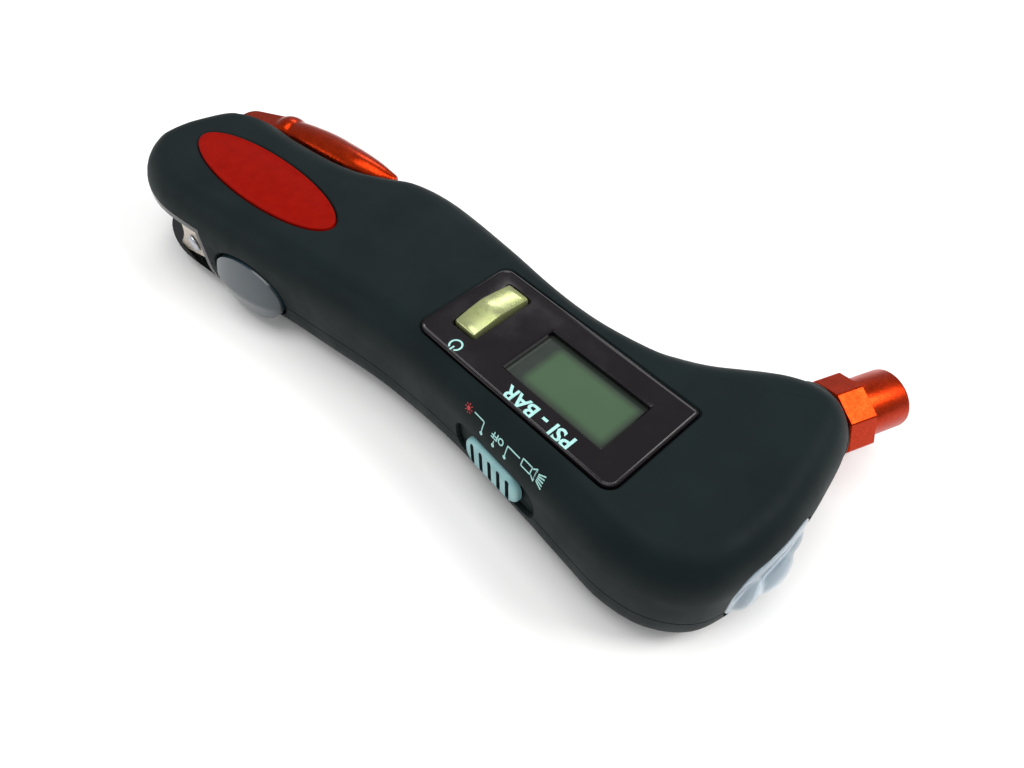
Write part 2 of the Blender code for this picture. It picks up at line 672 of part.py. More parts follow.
# --- air path -----------------------------------------------------------------------------
def nozzle():
    face = facing(NOZZLE_TURN)
    r, end = NOZZLE_RADIUS, NOZZLE_LENGTH
    profile = [(0.0, end), (r - 0.8, end), (r - 0.25, end - 0.25), (r, end - 0.8), (r, 0.5),
               (4.6, 0.5), (4.6, -2.2), (3.7, -2.2), (3.7, -3.8), (4.6, -3.8), (4.6, -7.3),
               (6.7, -7.3), (6.7, -9.0), (1.3, -9.0), (1.3, -14.5), (0.0, -14.5)]
    body = turned("nozzle_body", profile, NOZZLE_AT, face, steps=24)
    corner = OCTAGON_FLATS / 2 / math.cos(math.pi / 8)
    octagon = cylinder("octagon", corner, GAP, OCTAGON_LENGTH, NOZZLE_AT, face, sides=8)
    bore = [(0.0, 20.0), (VALVE_BORE, 20.0), (VALVE_BORE, 4.2), (0.7, 4.2), (0.7, -16.0),
            (0.0, -16.0)]
    add(body, octagon)
    cut(body, turned("valve_bore", bore, NOZZLE_AT, face, steps=24))
    finish(body, "orange_anodised")
    pin = [(0.0, 8.0), (0.9, 8.0), (0.9, 5.5), (3.9, 5.5), (3.9, 4.5), (0.0, 4.5)]
    depressor = turned("valve_depressor", pin, NOZZLE_AT, face, steps=16)
    for index in range(3):
        angle = 2 * math.pi * index / 3
        hole = cylinder(f"depressor_hole_{index}", 0.6, 3.0, 7.0, NOZZLE_AT, face, sides=8)
        hole.data.transform(Matrix.Translation((2.2 * MM * math.cos(angle),
                                                2.2 * MM * math.sin(angle), 0)))
        cut(depressor, hole)
    finish(depressor, "brass")
    seal = [(3.9, 7.9), (3.9, 5.8), (2.5, 5.8), (2.5, 7.5), (2.9, 7.9)]
    finish(turned("valve_seal", seal, NOZZLE_AT, face, steps=20), "rubber")
    ring = [(4.3 + 0.3 * math.cos(-2 * math.pi * k / 6),
             -3.0 + 0.3 * math.sin(-2 * math.pi * k / 6)) for k in range(6)]
    finish(turned("nozzle_o_ring", ring, NOZZLE_AT, face, steps=20), "rubber")


def air_hose():
    route = smooth_path([(23.6, 21.5, 12.0), (22.6, 18.8, 12.0), (21.6, 15.8, 12.3),
                         (20.8, 12.0, 12.7), (19.3, 9.3, 13.0), (16.8, 7.7, 13.1),
                         (13.4, 7.6, 13.1)], 2)
    hose = tube("air_hose", route, 2.5, caps=False, resolution=2)
    wall = hose.modifiers.new("wall", "SOLIDIFY")
    wall.thickness = 0.85 * MM
    wall.offset = -1.0
    finish(hose, "silicone")


# --- torch and warning light --------------------------------------------------------------
def torch():
    x, y, z = TORCH_AT
    level = (0, math.radians(90), 0)
    lens = loft("torch_lens", edge_rings(PLAN_TOP, 0.0, False)[::-1]
                + edge_rings(PLAN_TOP, 0.0, True))
    cut(lens, casing_solid("torch_inside", PLAN_TOP, WALL))
    boolean(lens, torch_prism("torch_limit", GAP), "INTERSECT")
    dome = ellipsoid("torch_dome", (3.1, 6.0, 5.2), (x - 1.0, y, z), columns=24, rows=12)
    boolean(dome, box("dome_half", (x - 1.6, x + 10), (y - 20, y + 20), (z - 20, z + 20)),
            "INTERSECT")
    add(lens, dome)
    finish(lens, "clear_lens")
    cup = [(6.6, -3.2), (6.6, -4.0), (3.7, -12.0), (3.7, -13.2), (2.9, -13.2), (2.9, -11.8),
           (5.7, -3.9), (5.7, -3.2)]
    finish(turned("torch_reflector", cup, TORCH_AT, level, steps=24), "chrome")
    bulb = [(0.0, -5.6), (1.2, -5.9), (2.1, -6.7), (2.5, -7.9), (2.5, -14.4), (2.9, -14.4),
            (2.9, -15.4), (0.0, -15.4)]
    finish(turned("torch_led", bulb, TORCH_AT, level, steps=16), "clear_lens")
    board = box("torch_board", (x - 16.9, x - 15.7), (y - 5.5, y + 5.5), (z - 5.0, z + 5.0))
    finish(board, "board_green", smooth=False)


def warning_light():
    length, width = BEACON_SIZE
    levels = [(length - 4.2, width - 4.2, 21.0), (length - 4.2, width - 4.2, 23.05),
              (length, width, 23.05), (length, width, 23.9), (length - 0.7, width - 0.7, 24.2)]
    rings = [[(px, py, height) for px, py in oval(a, b, 36)] for a, b, height in levels]
    finish(loft("warning_lens", rings, (*BEACON_AT, 0), turn_z(BEACON_TURN)), "red_lens")
    board = box("warning_board", (-18.0, 18.0), (-5.0, 5.0), (16.9, 18.1), (*BEACON_AT, 0),
                turn_z(BEACON_TURN))
    finish(board, "board_green", smooth=False)
    bulb = [(0.0, 20.6), (0.7, 20.4), (1.2, 19.9), (1.4, 19.2), (1.4, 18.9), (1.7, 18.9),
            (1.7, 18.4), (0.0, 18.4)]
    for name, x, y in (("warning_led_1", -94.0, -8.5), ("warning_led_2", -77.0, -7.5)):
        finish(turned(name, bulb, (x, y, 0), steps=16), "red_lens")


# --- battery ------------------------------------------------------------------------------
def battery():
    x, y, z = CELL_AT
    for index in range(3):
        left = x + index * (CELL_LENGTH + GAP) - CELL_LENGTH / 2
        cell = cylinder(f"button_cell_{index + 1}", CELL_RADIUS, left, left + CELL_LENGTH,
                        (0, y, z), (0, math.radians(90), 0), sides=24)
        rim = cell.modifiers.new("rim", "BEVEL")
        rim.width = 0.5 * MM
        rim.segments = 1
        rim.limit_method = "ANGLE"
        rim.angle_limit = math.radians(60)
        finish(cell, "steel")
    turns, points = 3.0, 10
    coil = []
    for k in range(int(turns * points) + 1):
        share = k / (turns * points)
        angle = 2 * math.pi * turns * share
        radius = 4.0 - 2.0 * share
        coil.append((CELL_BAY["x0"] + 0.6 + 2.1 * share, y + radius * math.cos(angle),
                     z + radius * math.sin(angle)))
    finish(tube("battery_spring", coil, 0.25, resolution=0), "steel")
    tab = box("battery_contact", (-36.6, -36.1), (y - 3.5, y + 3.5), (z - 4.5, z + 4.5))
    finish(tab, "brass", smooth=False)
    cover = COVER
    outline = rounded_rectangle(cover["x0"] + GAP, cover["x1"] - GAP, cover["y0"] + GAP,
                                cover["y1"] - GAP, cover["corner"] - GAP)
    lid = plate("battery_cover", [outline], 0.1, cover["thick"])
    for index in range(4):
        left = -56.5 + index * 2.2
        cut(lid, box(f"grip_{index}", (left, left + 1.0), (-3.5, 5.5), (-1.0, 0.6)))
    cut(lid, turned("cover_countersink", [(0.0, 3.0), (1.5, 3.0), (1.5, 1.0), (2.5, 0.0),
                                          (2.5, -1.0), (0.0, -1.0)], (*COVER_SCREW_AT, 0),
                    steps=20))
    finish(lid, "casing_black")
    flat_head = [(0.0, 6.8), (0.7, 6.8), (1.0, 6.4), (1.0, 1.15), (2.0, 0.25), (0.0, 0.25)]
    body = turned("cover_screw", flat_head, (*COVER_SCREW_AT, 0), steps=20)
    sx, sy = COVER_SCREW_AT
    for index, (a, b) in enumerate([(1.1, 0.25), (0.25, 1.1)]):
        cut(body, box(f"cover_screw_recess_{index}", (sx - a, sx + a), (sy - b, sy + b),
                      (-1.0, 0.8)))
    finish(body, "steel")


# --- belt cutter --------------------------------------------------------------------------
def belt_cutter():
    slot = CUTTER_SLOT
    outer = box("belt_slot_liner", (slot["x0"], slot["x1"] - GAP),
                (slot["y0"], slot["y1"] - GAP), (slot["z0"] + GAP, slot["z1"] - GAP))
    inner = box("liner_mouth", (slot["x0"] - 5, slot["x1"] - GAP - LINER_WALL),
                (slot["y0"] - 5, slot["y1"] - GAP - LINER_WALL),
                (slot["z0"] + GAP + LINER_WALL, slot["z1"] - GAP - LINER_WALL))
    clipped(outer, "liner", 0.1)
    finish(cut(outer, inner), "liner_black")
    low = slot["z0"] + 2 * GAP + LINER_WALL
    high = slot["z1"] - 2 * GAP - LINER_WALL
    right = slot["x1"] - 2 * GAP - LINER_WALL
    tip, heel = (BLADE_TIP, low), (BLADE_HEEL, high)
    edge = [(tip[0] + (heel[0] - tip[0]) * k / 8 + 1.8 * math.sin(math.pi * k / 8),
             low + (high - low) * k / 8) for k in range(9)]
    outline = [(right, high), *edge[::-1], (BLADE_TIP + 3.4, low), (right, low + 5.0)]
    blade = plate("belt_blade", [outline], 24.0, 24.8)
    blade.rotation_euler = (math.radians(90), 0, 0)
    rivet_hole = cylinder("blade_hole", 1.3, 20.0, 30.0, (-91.5, 0, (low + high) / 2 + 1.0),
                          (math.radians(90), 0, 0), sides=16)
    finish(cut(blade, rivet_hole), "steel", smooth=False)
    back = slot["y1"] - 2 * GAP - LINER_WALL
    stud = turned("blade_rivet", [(0.0, 25.6), (1.6, 25.6), (2.0, 25.1), (1.0, 25.1),
                                  (1.0, 23.7), (2.4, 23.7), (2.4, -back), (0.0, -back)],
                  (-91.5, 0, (low + high) / 2 + 1.0), (math.radians(90), 0, 0), steps=16)
    finish(stud, "steel")


# --- release button -----------------------------------------------------------------------
def release_button():
    length, height = RELEASE_SIZE
    turn = turn_z(RELEASE_TURN)
    axis = pivot("release_button_pivot", RELEASE_AT, RELEASE_TURN)
    upright = (math.radians(90), 0, math.radians(RELEASE_TURN))
    heights = [(1.0, 1.0, -3.6), (1.0, 1.0, -0.4), (0.97, 0.96, 0.6), (0.86, 0.84, 1.6),
               (0.66, 0.62, 2.1), (0.35, 0.3, 2.4)]
    rings = [[(px, py, level) for px, py in oval(length * a, height * b, 40)]
             for a, b, level in heights]
    cap = loft("release_button", rings, RELEASE_AT, upright)
    flange = box("release_flange", (-11.4, 11.4), (3.4, 4.6), (-5.6, 5.6), RELEASE_AT, turn)
    stem = cylinder("release_stem", 1.6, 4.0, 10.0, RELEASE_AT,
                    (math.radians(-90), 0, math.radians(RELEASE_TURN)), sides=16)
    finish(add(cap, flange, stem), "release_blue", axis)
    turns, points = 4.0, 10
    tilt = Matrix.Rotation(math.radians(RELEASE_TURN), 3, "Z")
    coil = []
    for k in range(int(turns * points) + 1):
        share = k / (turns * points)
        angle = 2 * math.pi * turns * share
        local = Vector((2.6 * math.cos(angle), 5.3 + 7.2 * share, 2.6 * math.sin(angle)))
        coil.append(Vector(RELEASE_AT) + tilt @ local)
    finish(tube("release_spring", coil, 0.3, resolution=0), "steel")


# --- swing-out arm ------------------------------------------------------------------------
def driver_arm():
    axis = pivot("driver_arm_pivot", (*PIVOT_AT, ARM_Z))
    path = smooth_path(ARM_PATH, 2)
    route = [(x, y, ARM_Z) for x, y, _ in path]
    shell = tube("driver_arm", route, 1.0, radii=[r for _, _, r in path], resolution=4)
    x, y, _ = ARM_PATH[0]
    px, py = PIVOT_AT
    ball = ellipsoid("arm_ball", (4.6, 4.6, 4.6), (x, y, ARM_Z))
    heading = math.degrees(math.atan2(y - py, x - px))
    reach = math.hypot(x - px, y - py)
    eye = [(3.4 * math.cos(math.radians(a)), 3.4 * math.sin(math.radians(a)))
           for a in range(90, 271, 15)]
    tongue = plate("arm_tongue", [eye + [(reach - 1, -2.6), (reach - 1, 2.6)]], 17.6, 20.2,
                   (px, py, 0), turn_z(heading))
    hub = cylinder("arm_hub", 3.4, SHELF_TOP + 0.4, 18.5, (px, py, 0), sides=24)
    add(shell, ball, tongue, hub)
    x0, y0 = -101.5, 7.4
    lean = 11.5
    groove = cylinder("driver_groove", 1.75, 0.0, 21.0, (x0, y0, ARM_Z), facing(lean), sides=20)
    hole = cylinder("arm_hole", 1.6, 5.0, 18.6, (px, py, 0), sides=20)
    cut(shell, groove, hole)
    finish(shell, "orange_anodised", axis)
    shank = [(0.0, 20.0), (0.5, 20.0), (0.9, 17.0), (1.4, 15.5), (1.4, 0.3), (0.0, 0.3)]
    driver = turned("driver_bit", shank, (x0, y0, ARM_Z), facing(lean), steps=16)
    finish(driver, "steel", axis)
    pin = [(0.0, 18.3), (1.0, 18.3), (1.25, 18.0), (1.25, 3.4), (0.0, 3.4)]
    finish(turned("arm_pin", pin, (px, py, 0), steps=20), "steel")


# --- wires --------------------------------------------------------------------------------
WIRES = {                       # name: material and the points that the wire passes
    "battery_lead_red": ("wire_red", [(-33.2, 6.0, 8.5), (-32.9, 6.0, 11.0),
                                      (-32.9, 6.0, 13.6), (-33.2, 6.0, 15.8)]),
    "battery_lead_black": ("wire_black", [(-59.6, 1.0, 9.0), (-60.6, 2.0, 12.5),
                                          (-59.6, 3.6, 16.4), (-50.0, 6.0, 17.2),
                                          (-43.0, 6.5, 16.9), (-38.5, 6.5, 16.9)]),
    "torch_lead_red": ("wire_red", [(22.0, 3.4, 9.5), (20.6, 3.4, 10.6), (19.4, 3.2, 13.5),
                                    (18.3, 3.0, 16.8)]),
    "torch_lead_black": ("wire_black", [(22.0, -0.6, 9.5), (20.6, -0.6, 10.6),
                                        (19.4, -0.8, 13.5), (18.3, -1.0, 16.8)]),
    "warning_lead_red": ("wire_red", [(-65.8, -5.0, 17.7), (-60.0, -5.6, 18.2),
                                      (-48.0, -5.2, 17.6), (-38.5, -4.5, 16.9)]),
    "warning_lead_black": ("wire_black", [(-65.8, -9.0, 17.5), (-60.0, -9.0, 18.0),
                                          (-48.0, -8.2, 17.5), (-38.5, -7.5, 16.9)]),
}


def wires():
    for name, (material, points) in WIRES.items():
        finish(tube(name, smooth_path(points, 3), 0.45, resolution=1), material)


def build():
    top_casing()
    bottom_casing()
    fasteners()
    display_panel()
    display_stack()
    circuit_board()
    power_button()
    mode_slider()
    nozzle()
    air_hose()
    torch()
    warning_light()
    battery()
    belt_cutter()
    release_button()
    driver_arm()
    wires()


clear_scene()
PIECES = collection("tire_pressure_gauge")
TOOLS = collection("cutters")
GAUGE = bpy.data.objects.new("gauge", None)
GAUGE.location = (FRAME_SHIFT[0] * MM, FRAME_SHIFT[1] * MM, 0.0)
PIECES.objects.link(GAUGE)
bpy.context.view_layer.update()
build()
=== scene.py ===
"""Looks of a digital tire pressure gauge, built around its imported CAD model.

Lengths are millimetres, measured from the middle of the display on the plane that the gauge
lies on: +X runs to the torch, +Y to the air nozzle and +Z out of the display.  The helpers
move every shape to the frame's own origin and turn it into metres.
"""
import math

import bmesh
import bpy
import numpy as np
from mathutils import Euler, Matrix, Vector


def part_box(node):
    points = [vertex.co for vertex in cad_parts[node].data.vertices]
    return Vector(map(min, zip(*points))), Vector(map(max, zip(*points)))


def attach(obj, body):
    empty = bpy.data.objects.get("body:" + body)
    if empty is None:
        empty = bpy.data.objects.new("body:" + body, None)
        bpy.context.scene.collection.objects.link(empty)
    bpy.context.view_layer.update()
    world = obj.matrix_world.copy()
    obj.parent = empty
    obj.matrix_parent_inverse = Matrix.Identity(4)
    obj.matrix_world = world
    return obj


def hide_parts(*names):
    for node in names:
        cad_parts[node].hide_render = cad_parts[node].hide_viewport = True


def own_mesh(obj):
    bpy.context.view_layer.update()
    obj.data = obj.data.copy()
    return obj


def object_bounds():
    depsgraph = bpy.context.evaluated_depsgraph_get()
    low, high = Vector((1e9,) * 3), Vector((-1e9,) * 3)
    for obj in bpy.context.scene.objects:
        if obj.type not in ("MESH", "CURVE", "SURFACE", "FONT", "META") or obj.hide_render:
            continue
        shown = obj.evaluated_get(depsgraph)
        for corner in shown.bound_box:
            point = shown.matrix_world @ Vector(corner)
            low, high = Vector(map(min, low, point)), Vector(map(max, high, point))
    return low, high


bl_info = {
    "name": "Tire pressure gauge",
    "version": (1, 0, 0),
    "blender": (4, 5, 0),
    "location": "3D View > Sidebar > Gauge",
    "description": "Makes the outer pieces, the finishes and the stage of a digital tire gauge",
    "category": "Add Mesh",
}

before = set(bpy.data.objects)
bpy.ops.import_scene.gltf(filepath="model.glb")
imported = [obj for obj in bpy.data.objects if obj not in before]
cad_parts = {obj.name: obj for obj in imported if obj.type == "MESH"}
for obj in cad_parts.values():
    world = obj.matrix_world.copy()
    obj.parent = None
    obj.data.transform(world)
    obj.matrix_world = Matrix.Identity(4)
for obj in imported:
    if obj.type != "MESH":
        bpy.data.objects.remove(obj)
CAD_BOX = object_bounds()
PANEL_LOW, PANEL_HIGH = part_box("display_panel")

MM = 0.001
PANEL = dict(x0=-29.5, x1=16.7, y0=-10.5, y1=11.1, bottom=23.05, top=24.25, corner=2.2)
ORIGIN = Vector((PANEL_LOW[0] / MM - PANEL["x0"], PANEL_LOW[1] / MM - PANEL["y0"], 0.0))
TO_FRAME = Matrix.Scale(MM, 4) @ Matrix.Translation(ORIGIN)
MERGE = 0.002                  # points closer than this are one point
UNFOLD_ROUNDS = 6              # rounds that pull a fold out of an outline moved in too far
GAP = 0.3                      # air between two pieces that touch

# --- sizes of the gauge -------------------------------------------------------------------
THICKNESS = 24.0
PARTING = 9.5                  # height of the joint between the casing halves
WALL = 2.0
SEAM = 0.12                    # open width of the joint as it shows outside
LIP = 0.08                     # small slope along the joint's edges
TOP_FUSE = PARTING + SEAM / 2 + 0.03   # parts of the upper half start here, of the lower end
LOW_FUSE = PARTING - SEAM / 2 - 0.03
EDGE_IN = 6.0                  # how far the rounded edge reaches in, in plan
EDGE_UP = 8.0                  # and how much of the height it takes
EDGE_ARC = 11.05               # length of that quarter ellipse
FLAT_BORDER = 0.35             # flat ring between a rounded edge and the broad face
OUTLINE_STEPS = 6              # curve pieces between two outline points
PLAN_NEAR = [                  # casing outline from the handle end along -Y to the far side
    (-119.3, -10.4), (-118.2, -17.5), (-112.0, -23.6), (-102.0, -26.4), (-90.5, -25.6),
    (-77.0, -22.9), (-64.0, -20.2), (-51.3, -18.1), (-39.3, -16.1), (-27.4, -15.1),
    (-16.0, -14.8), (-5.0, -15.4), (5.0, -16.0), (14.0, -16.7), (22.6, -17.1),
    (30.4, -15.2), (36.4, -10.2), (38.8, -2.5), (39.3, 5.0), (38.6, 13.0), (37.5, 19.5),
    (36.2, 25.4), (34.2, 30.0), (30.2, 33.2), (25.4, 33.4), (20.8, 31.7), (17.0, 29.2),
    (13.4, 26.3), (9.6, 23.3), (5.2, 20.8), (0.6, 19.0), (-9.7, 17.3), (-21.0, 17.3),
    (-33.9, 18.5), (-47.6, 19.4), (-55.0, 19.3), (-61.0, 18.4),
]
PLAN_LOW = PLAN_NEAR + [       # the lower half carries on under the arm as a shelf
    (-68.0, 17.0), (-75.0, 16.1), (-83.0, 15.2), (-91.0, 14.2), (-99.0, 12.8),
    (-106.0, 10.4), (-111.8, 7.2), (-115.6, 2.9), (-118.0, -3.0),
]
PLAN_TOP = PLAN_NEAR + [       # the upper half draws in along the arm
    (-65.4, 16.9), (-70.3, 13.7), (-75.2, 11.2), (-80.6, 9.5), (-86.0, 8.5), (-91.2, 7.8),
    (-97.0, 7.2), (-103.0, 7.1), (-108.2, 6.5), (-112.6, 4.5), (-115.9, 1.1),
    (-117.9, -3.8),
]
PANEL_FACE = PANEL["top"] - 0.1    # the face lies this deep inside its fine raised rim
PANEL_RIM = [                  # section of the rim: distance in from the outline, and height
    (0.0, PANEL["bottom"]), (0.0, 23.9), (0.08, 24.13), (0.22, 24.23), (0.34, 24.25),
    (0.46, 24.23), (0.6, 24.16), (0.75, PANEL_FACE),
]
LCD = dict(x0=-12.5, x1=10.8, y0=-6.0, y1=6.5)
LCD_UNSHADED_FIELD = (15.9, 7.1)       # field inside the display's window that the painted shade on its margin leaves clear
LCD_SHIFT = 1.2                # how far that field lies towards the torch, which widens the painted shade at the handle end
LCD_SHADE_FADE = 2.0                 # width of the painted shade's soft edge
PRINT_THICK = 0.02
PRINT_LIFT = 0.015             # air below a print, so that it never flickers
STROKE_STEP = 0.3              # longest straight bit of a printed line
PRINTED_WALL = (-30.0, 22.0)   # stretch of the -Y wall that carries prints
UNIT_MARKS_AT = (-0.4, -8.6)
POWER_MARK_AT = (-20.9, -8.6)
SIGN_WIDTH = 0.22              # width of the printed lines beside the switch
POWER_AT = (-22.7, 1.4)
POWER_SIZE = (5.2, 13.2)
SLIDER_AT = (-4.0, -15.5, 11.5)
SLIDER_TURN = -3.1             # degrees, the wall's direction there
SLIDER_SIZE = (14.0, 7.0)
SLIDER_TRAVEL = 3.0
RELEASE_AT = (-73.6, -22.2, 9.8)
RELEASE_TURN = 11.0
RELEASE_SIZE = (20.0, 12.6)
SPRING_START = 5.3             # depth of the return spring's near end behind the key's face
SPRING_LENGTH = 7.2
BEACON_AT = (-84.7, -8.1, 0.0)
BEACON_TURN = 3.5
BEACON_SIZE = (46.2, 13.3)
TORCH_AT = (39.2, 3.0, 11.2)
TORCH_WINDOW = (-5.8, 13.6, 5.0, 19.2)
NOZZLE_AT = (28.4, 34.1, 12.0)
NOZZLE_TURN = 69.0
NOZZLE_RADIUS = 5.5
NOZZLE_LENGTH = 14.8
OCTAGON_FLATS = 13.6
OCTAGON_LENGTH = 6.1
VALVE_BORE = 4.2
PIVOT_AT = (-112.2, 4.4)
ARM_Z = 16.6
ARM_PATH = [                   # axis of the arm with its radius, from the ball to the tip
    (-104.6, 9.5, 3.9), (-99.5, 10.6, 4.4), (-93.0, 12.0, 4.6), (-87.0, 12.9, 4.5),
    (-81.5, 13.9, 4.1), (-77.0, 15.4, 3.0), (-73.3, 17.2, 1.2),
]
ARM_ROOM = 0.4
SHELF_TOP = 11.3
PIN_FOOT = 6.4                 # the arm's pin starts here, above the rounded lower edge
CUTTER_SLOT = dict(x0=-128.0, x1=-86.2, y0=-32.0, y1=-17.6, z0=2.8, z1=18.4)
LINER_WALL = 1.2
BLADE_TIP = -103.4
BLADE_HEEL = -96.6
BLADE_BOW = 1.8                # how far the cutting edge curves in
BLADE_BEVEL = 0.9
CELL_BAY = dict(x0=-57.3, x1=-35.7, y0=-5.4, y1=7.4, top=13.9)
CELL_AT = (-51.3, 1.0, 7.7)
COVER = dict(x0=-60.0, x1=-27.0, y0=-6.6, y1=8.6, thick=1.6, corner=2.0)
COVER_SCREW_AT = (-30.6, 1.0)
CASE_SCREWS = [(-107.0, -6.5), (-64.0, 10.0), (23.0, -11.2), (14.5, 19.0)]


# --- outlines and paths -------------------------------------------------------------------
def smooth_path(points, steps, closed=False):
    """Points on a Catmull-Rom curve through the given points."""
    points = np.array(points, dtype=float)
    count = len(points)
    path = []
    for i in range(count if closed else count - 1):
        if closed:
            a, b, c, d = (points[(i + k - 1) % count] for k in range(4))
        else:
            a, b, c, d = (points[min(max(i + k - 1, 0), count - 1)] for k in range(4))
        for t in np.arange(steps) / steps:
            path.append(0.5 * (2 * b + (c - a) * t + (2 * a - 5 * b + 4 * c - d) * t ** 2
                               + (3 * b - a - 3 * c + d) * t ** 3))
    if not closed:
        path.append(points[-1])
    return np.array(path)


def moved_in(outline, distance):
    """A closed outline moved inward by a distance, or outward by a negative one."""
    path = np.array(outline, dtype=float)
    along = np.roll(path, -1, axis=0) - np.roll(path, 1, axis=0)
    along /= np.linalg.norm(along, axis=1)[:, None]
    moved = path + np.column_stack([-along[:, 1], along[:, 0]]) * distance
    for _ in range(UNFOLD_ROUNDS):
        ahead = np.roll(moved, -1, axis=0) - np.roll(moved, 1, axis=0)
        folded = (ahead * along).sum(axis=1) < MERGE
        middle = (np.roll(moved, -1, axis=0) + np.roll(moved, 1, axis=0)) / 2
        moved[folded] = middle[folded]
    return moved


def rounded_rectangle(x0, x1, y0, y1, radius, steps=6, first=None):
    """Outline of a rectangle with round corners; `first` is the radius at +X +Y."""
    outline = []
    for number, (sx, sy) in enumerate([(1, 1), (-1, 1), (-1, -1), (1, -1)]):
        r = first if first is not None and number == 0 else radius
        cx = x1 - r if sx > 0 else x0 + r
        cy = y1 - r if sy > 0 else y0 + r
        for k in range(steps + 1):
            angle = math.radians(90 * number + 90 * k / steps)
            outline.append((cx + r * math.cos(angle), cy + r * math.sin(angle)))
    return outline


def turns(count):
    return [2 * math.pi * k / count for k in range(count)]


def arc(radius, start, end, steps, across=0.0, up=0.0):
    """Points on an arc from one angle to another, in degrees."""
    angles = [math.radians(start + (end - start) * k / steps) for k in range(steps + 1)]
    return [(across + radius * math.cos(a), up + radius * math.sin(a)) for a in angles]


def oval(length, width, sides=96):
    return [(length / 2 * math.cos(a), width / 2 * math.sin(a)) for a in turns(sides)]


def place(at=(0.0, 0.0, 0.0), rx=0.0, ry=0.0, rz=0.0):
    """Matrix of a place in millimetres and a turn in degrees."""
    turn = Euler([math.radians(a) for a in (rx, ry, rz)])
    return Matrix.Translation(Vector((*at, 0.0)[:3])) @ turn.to_matrix().to_4x4()


NOZZLE_PLACE = place(NOZZLE_AT, ry=90, rz=NOZZLE_TURN)
SLIDER_PLACE = place(SLIDER_AT, rz=SLIDER_TURN)
SLIDER_FACE = place(SLIDER_AT, rx=90, rz=SLIDER_TURN)
RELEASE_PLACE = place(RELEASE_AT, rz=RELEASE_TURN)
RELEASE_FACE = place(RELEASE_AT, rx=90, rz=RELEASE_TURN)
BEACON_PLACE = place(BEACON_AT, rz=BEACON_TURN)
TORCH_PLACE = place(TORCH_AT, ry=90)


# --- solids -------------------------------------------------------------------------------
def settle(name, shape, where=None):
    """Turn a bmesh in millimetres into an object at the origin, its faces pointing out."""
    bmesh.ops.remove_doubles(shape, verts=shape.verts, dist=MERGE)
    bmesh.ops.recalc_face_normals(shape, faces=shape.faces)
    matrix = TO_FRAME if where is None else TO_FRAME @ where
    bmesh.ops.transform(shape, matrix=matrix, verts=shape.verts)
    mesh = bpy.data.meshes.new(name)
    shape.to_mesh(mesh)
    shape.free()
    obj = bpy.data.objects.new(name, mesh)
    bpy.context.scene.collection.objects.link(obj)
    return obj


def skin(name, rings, where=None, ends="flat"):
    """A solid through rings of as many points each; its ends are flat, or joined to each other."""
    shape = bmesh.new()
    rows = [[shape.verts.new(point) for point in ring] for ring in rings]
    pairs = list(zip(rows, rows[1:]))
    if ends == "joined":
        pairs.append((rows[-1], rows[0]))
    for low, high in pairs:
        for i in range(len(low)):
            j = (i + 1) % len(low)
            shape.faces.new((low[i], low[j], high[j], high[i]))
    if ends == "flat":
        shape.faces.new(rows[0][::-1])
        shape.faces.new(rows[-1])
    return settle(name, shape, where)


def plate(name, outline, levels, where=None):
    """A solid through one outline, moved in and up as the levels (inset, height) say."""
    rings = [[(x, y, height) for x, y in moved_in(outline, inset)] for inset, height in levels]
    return skin(name, rings, where)


def turned(name, profile, where=None, sides=64):
    """A turned solid: the profile (radius, height) closes on the axis or on itself."""
    rings = [[(r * math.cos(a), r * math.sin(a), h) for a in turns(sides)] for r, h in profile]
    on_axis = profile[0][0] == 0 or profile[-1][0] == 0
    return skin(name, rings, where, "flat" if on_axis else "joined")


def block(name, x, y, z, where=None):
    shape = bmesh.new()
    bmesh.ops.create_cube(shape, size=1.0)
    low, high = (Vector(corner) for corner in zip(x, y, z))
    bmesh.ops.scale(shape, vec=high - low, verts=shape.verts)
    bmesh.ops.translate(shape, vec=(low + high) / 2, verts=shape.verts)
    return settle(name, shape, where)


def boxed(name, bounds, z, margin=0.0):
    """A block over bounds in plan, wider by a margin."""
    return block(name, (bounds["x0"] - margin, bounds["x1"] + margin),
                 (bounds["y0"] - margin, bounds["y1"] + margin), z)


def rounded_bounds(bounds, margin=0.0, first=None):
    """Outline of bounds in plan with their round corners, wider by a margin."""
    return rounded_rectangle(bounds["x0"] - margin, bounds["x1"] + margin,
                             bounds["y0"] - margin, bounds["y1"] + margin,
                             bounds["corner"] + margin, first=first)


def cylinder(name, radius, low, high, where=None, sides=32):
    return turned(name, [(0.0, low), (radius, low), (radius, high), (0.0, high)], where, sides)


def ball(name, radii, at, sides=48):
    shape = bmesh.new()
    bmesh.ops.create_uvsphere(shape, u_segments=sides, v_segments=sides // 2, radius=1.0)
    bmesh.ops.scale(shape, vec=radii, verts=shape.verts)
    return settle(name, shape, place(at))


def tube(name, path, radii, where=None, sides=16, wall=None):
    """A round bar along a path; with a wall it is a hose, open at both ends."""
    path = [Vector(point) for point in path]
    radii = [float(radius) for radius in radii]
    ahead = [(path[min(i + 1, len(path) - 1)] - path[max(i - 1, 0)]).normalized()
             for i in range(len(path))]
    side = ahead[0].orthogonal().normalized()
    frames = []
    for direction in ahead:
        side = (side - direction * side.dot(direction)).normalized()
        frames.append((side.copy(), direction.cross(side)))
    def rings(shrink):
        return [[point + (radius - shrink) * (math.cos(a) * u + math.sin(a) * v)
                 for a in turns(sides)] for point, radius, (u, v) in zip(path, radii, frames)]
    if wall is None:
        return skin(name, rings(0.0), where)
    return skin(name, rings(0.0) + rings(wall)[::-1], where, "joined")


def bake(obj):
    """Keep an object's evaluated mesh and drop its modifiers."""
    graph = bpy.context.evaluated_depsgraph_get()
    mesh = bpy.data.meshes.new_from_object(obj.evaluated_get(graph))
    obj.modifiers.clear()
    old, obj.data = obj.data, mesh
    bpy.data.meshes.remove(old)
    mesh.name = obj.name
    return obj


